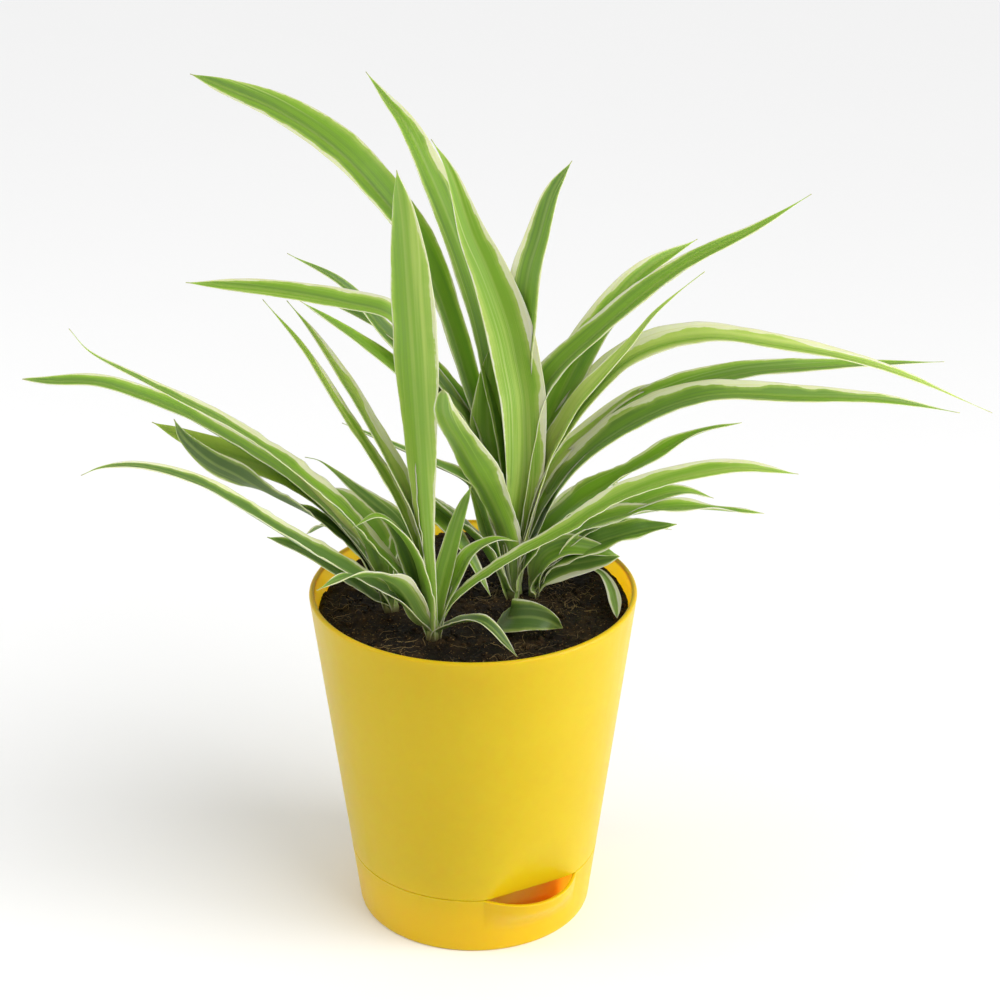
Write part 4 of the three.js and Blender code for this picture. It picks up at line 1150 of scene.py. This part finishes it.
def moist_soil(name, lift):
    """Dark crumbly soil: near-black hollows, brown crests and a few pale specks, all of them
    lighter by lift."""
    material, graph, shader = fresh_material(name)
    place = graph.object_place()
    mask, height = graph.grain(Place=place, Broad=90.0, Middle=420.0, Fine=1900.0)
    dark = scaled(bpy.context.scene.soil_settings.dark, lift, lift, lift)
    brown = scaled((0.046, 0.026, 0.009), lift, lift, lift)
    pale = scaled((0.20, 0.13, 0.045), lift, lift, lift)
    colour = graph.mix(graph.between(mask, 0.44, 0.68), dark, brown)
    specks = graph.noise(place, 1300.0, 2.0)
    graph.fill(shader, {
        "Base Color": graph.mix(graph.between(specks, 0.62, 0.72, 0.0, 0.8), colour, pale),
        "Roughness": graph.between(mask, 0.3, 0.7, 0.6, 0.95),
        "Normal": graph.bump(height, 0.0006, 0.9),
    })
    shader.inputs["Specular IOR Level"].default_value = 0.2
    return material


def root_fibre():
    """Pale brown coir and root fibres, uneven along their length."""
    material, graph, shader = fresh_material("root fibre")
    mask, height = graph.grain(Place=graph.object_place(), Broad=60.0, Middle=300.0, Fine=2000.0)
    colour = graph.mix(graph.between(mask, 0.35, 0.65), (0.07, 0.042, 0.014), (0.30, 0.205, 0.072))
    graph.fill(shader, {"Base Color": colour, "Normal": graph.bump(height, 0.0001)})
    shader.inputs["Roughness"].default_value = 0.7
    return material


def wick_cotton():
    """Undyed twisted cotton, darker where it is moist."""
    material, graph, shader = fresh_material("wick cotton")
    place = graph.object_place()
    mask, _ = graph.grain(Place=place, Broad=40.0, Middle=500.0, Fine=2400.0)
    twist = graph.add("ShaderNodeTexWave", wave_type="BANDS", bands_direction="DIAGONAL")
    graph.fill(twist, {"Vector": place, "Scale": 220.0})
    colour = graph.mix(mask, (0.42, 0.36, 0.26), (0.78, 0.74, 0.64))
    graph.fill(shader, {"Base Color": colour, "Normal": graph.bump(twist.outputs["Fac"], 0.0004)})
    shader.inputs["Roughness"].default_value = 0.9
    return material


def studio_floor():
    """Plain pale matte floor with the faintest mottling."""
    material, graph, shader = fresh_material("studio floor")
    mask, _ = graph.grain(Place=graph.object_place(), Broad=2.0, Middle=12.0, Fine=90.0)
    graph.feed(shader.inputs["Base Color"], graph.mix(mask, (0.95, 0.95, 0.95), (0.97, 0.97, 0.97)))
    shader.inputs["Roughness"].default_value = 0.95
    shader.inputs["Specular IOR Level"].default_value = 0.1
    return material


def material_named(name, maker):
    """A material made once and then used again."""
    return bpy.data.materials.get(name) or maker()


# Operators, one for each piece or group of like pieces


class PLANT_OT_pot_shell(bpy.types.Operator):
    """Replaces the pot's faceted shell by a smooth one with a soft-edged recess"""

    bl_idname = "plant.pot_shell"
    bl_label = "Pot shell"

    def execute(self, context):
        plastic = material_named("yellow moulded plastic", pot_plastic)
        shell = mesh_piece("pot_shell_smooth", "pot", plastic, *pot_shell_surface())
        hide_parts("pot_shell")
        return {"FINISHED"}


class PLANT_OT_reservoir_tray(bpy.types.Operator):
    """Replaces the tray by a smooth one with its swelling lip"""

    bl_idname = "plant.reservoir_tray"
    bl_label = "Reservoir tray"

    def execute(self, context):
        plastic = material_named("yellow moulded plastic", pot_plastic)
        tray = mesh_piece("reservoir_base_smooth", "reservoir", plastic, *tray_surface())
        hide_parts("reservoir_base")
        return {"FINISHED"}


class PLANT_OT_wick(bpy.types.Operator):
    """Gives the wick its cotton"""

    bl_idname = "plant.wick"
    bl_label = "Wick"

    def execute(self, context):
        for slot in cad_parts["wick"].material_slots:
            slot.material = material_named("wick cotton", wick_cotton)
        return {"FINISHED"}


class PLANT_OT_soil(bpy.types.Operator):
    """Replaces the soil by a crumbly body with loose crumbs and fibres on it"""

    bl_idname = "plant.soil"
    bl_label = "Soil"

    def execute(self, context):
        settings = context.scene.soil_settings
        body = mesh_piece("soil_body", "soil", moist_soil("moist soil", 1.0), *soil_surface())
        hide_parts("soil")
        crumb = moist_soil("soil crumb", 1.5)
        mesh_piece("soil_crumbs", "soil", crumb, *crumb_lumps(settings.crumbs))
        mesh_piece("soil_fibres", "soil", root_fibre(), *fibre_strands(settings.fibres))
        return {"FINISHED"}


class PLANT_OT_leaves(bpy.types.Operator):
    """Replaces each plant by its fine blades and wrapped stem"""

    bl_idname = "plant.leaves"
    bl_label = "Leaves"

    def execute(self, context):
        blade = material_named("striped leaf", leaf_blade)
        seed = 0
        for node, crown in PLANTS.items():
            parts = [stem_surface(crown)]
            for shape in crown["leaves"].values():
                seed += 1
                parts.append(blade_surface(crown, shape, seed))
            plant = mesh_piece(node + "_leaves", "leaf", blade, *joined(parts))
            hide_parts(node)
        return {"FINISHED"}


class PLANT_OT_studio(bpy.types.Operator):
    """Sets out the pale floor, the soft lights and the camera"""

    bl_idname = "plant.studio"
    bl_label = "Studio"

    def execute(self, context):
        scene = context.scene
        studio = scene.studio_settings
        target = np.array(studio.target)
        self.lay_floor(scene)
        self.light_sky(scene, studio.sky)
        self.add_sun("key", (0.9, -0.55, 1.0), studio.key_strength, studio.key_spread)
        for name, place, aim, size, share in (
            ("right panel", (0.75, -0.2, 0.12), (0, 0, 0.06), (0.35, 0.5), 1.8),
            ("left panel", (-0.75, -0.1, 0.62), target, (0.5, 0.7), 0.9),
            ("low panel", (-0.1, -0.8, 0.14), (0, 0, 0.02), (0.7, 0.12), 0.3),
        ):
            self.add_panel(name, place, aim, size, studio.panel_power * share)
        self.add_camera(scene, studio, target)
        scene.view_settings.view_transform = "Standard"
        scene.view_settings.look = "None"
        return {"FINISHED"}

    def lay_floor(self, scene):
        side = 6.0
        mesh = bpy.data.meshes.new("floor")
        corners = [(-side, -side, 0), (side, -side, 0), (side, side, 0), (-side, side, 0)]
        mesh.from_pydata(corners, [], [(0, 1, 2, 3)])
        mesh.materials.append(studio_floor())
        floor = bpy.data.objects.new("floor", mesh)
        scene.collection.objects.link(floor)

    def light_sky(self, scene, strength):
        world = bpy.data.worlds.new("studio sky")
        world.use_nodes = True
        sky = world.node_tree.nodes["Background"]
        sky.inputs["Color"].default_value = (1, 1, 1, 1)
        sky.inputs["Strength"].default_value = strength
        scene.world = world

    def add_panel(self, name, place, aim, size, power):
        light = bpy.data.lights.new(name, "AREA")
        light.shape = "RECTANGLE"
        light.size, light.size_y = size
        light.energy = power
        self.add_lamp(light, place, aim)

    def add_sun(self, name, place, strength, spread):
        light = bpy.data.lights.new(name, "SUN")
        light.energy = strength
        light.angle = spread
        self.add_lamp(light, place, (0, 0, 0))

    def add_lamp(self, light, place, aim):
        lamp = bpy.data.objects.new(light.name, light)
        lamp.location = place
        lamp.rotation_euler = facing(np.subtract(aim, place))
        bpy.context.scene.collection.objects.link(lamp)

    def add_camera(self, scene, studio, target):
        camera = bpy.data.objects.new("camera", bpy.data.cameras.new("camera"))
        camera.data.lens = studio.lens
        camera.data.sensor_width = 36
        back = np.array([0, -math.cos(studio.elevation), math.sin(studio.elevation)])
        camera.location = target + studio.distance * back
        camera.rotation_euler = (math.pi / 2 - studio.elevation, 0, 0)
        scene.collection.objects.link(camera)
        scene.camera = camera


def facing(direction):
    """Euler angles that point a lamp's -Z along a direction."""
    x, y, z = direction / np.linalg.norm(direction)
    return (math.acos(-z), 0, math.atan2(y, x) - math.pi / 2)


class PLANT_PT_panel(bpy.types.Panel):
    """Lists the settings and the steps"""

    bl_label = "Potted spider plant"
    bl_space_type = "VIEW_3D"
    bl_region_type = "UI"
    bl_category = "Plant"

    def draw(self, context):
        for name, kind in SETTINGS.items():
            box = self.layout.box()
            for setting in kind.__annotations__:
                box.prop(getattr(context.scene, name), setting)
        for operator in OPERATORS:
            self.layout.operator(operator.bl_idname)


SETTINGS = dict(
    pot_settings=PotSettings,
    leaf_settings=LeafSettings,
    soil_settings=SoilSettings,
    studio_settings=StudioSettings,
)
OPERATORS = (
    PLANT_OT_pot_shell,
    PLANT_OT_reservoir_tray,
    PLANT_OT_wick,
    PLANT_OT_soil,
    PLANT_OT_leaves,
    PLANT_OT_studio,
)


def register():
    """Registers the settings, the operators and the panel."""
    for name, group in SETTINGS.items():
        bpy.utils.register_class(group)
        setattr(bpy.types.Scene, name, bpy.props.PointerProperty(type=group))
    for operator in OPERATORS:
        bpy.utils.register_class(operator)
    bpy.utils.register_class(PLANT_PT_panel)


def unregister():
    """Takes them away again."""
    bpy.utils.unregister_class(PLANT_PT_panel)
    for operator in reversed(OPERATORS):
        bpy.utils.unregister_class(operator)
    for name, group in SETTINGS.items():
        delattr(bpy.types.Scene, name)
        bpy.utils.unregister_class(group)


def main():
    register()
    bpy.ops.plant.pot_shell()
    bpy.ops.plant.reservoir_tray()
    bpy.ops.plant.wick()
    bpy.ops.plant.soil()
    bpy.ops.plant.leaves()
    bpy.ops.plant.studio()


if __name__ == "__main__":
    main()
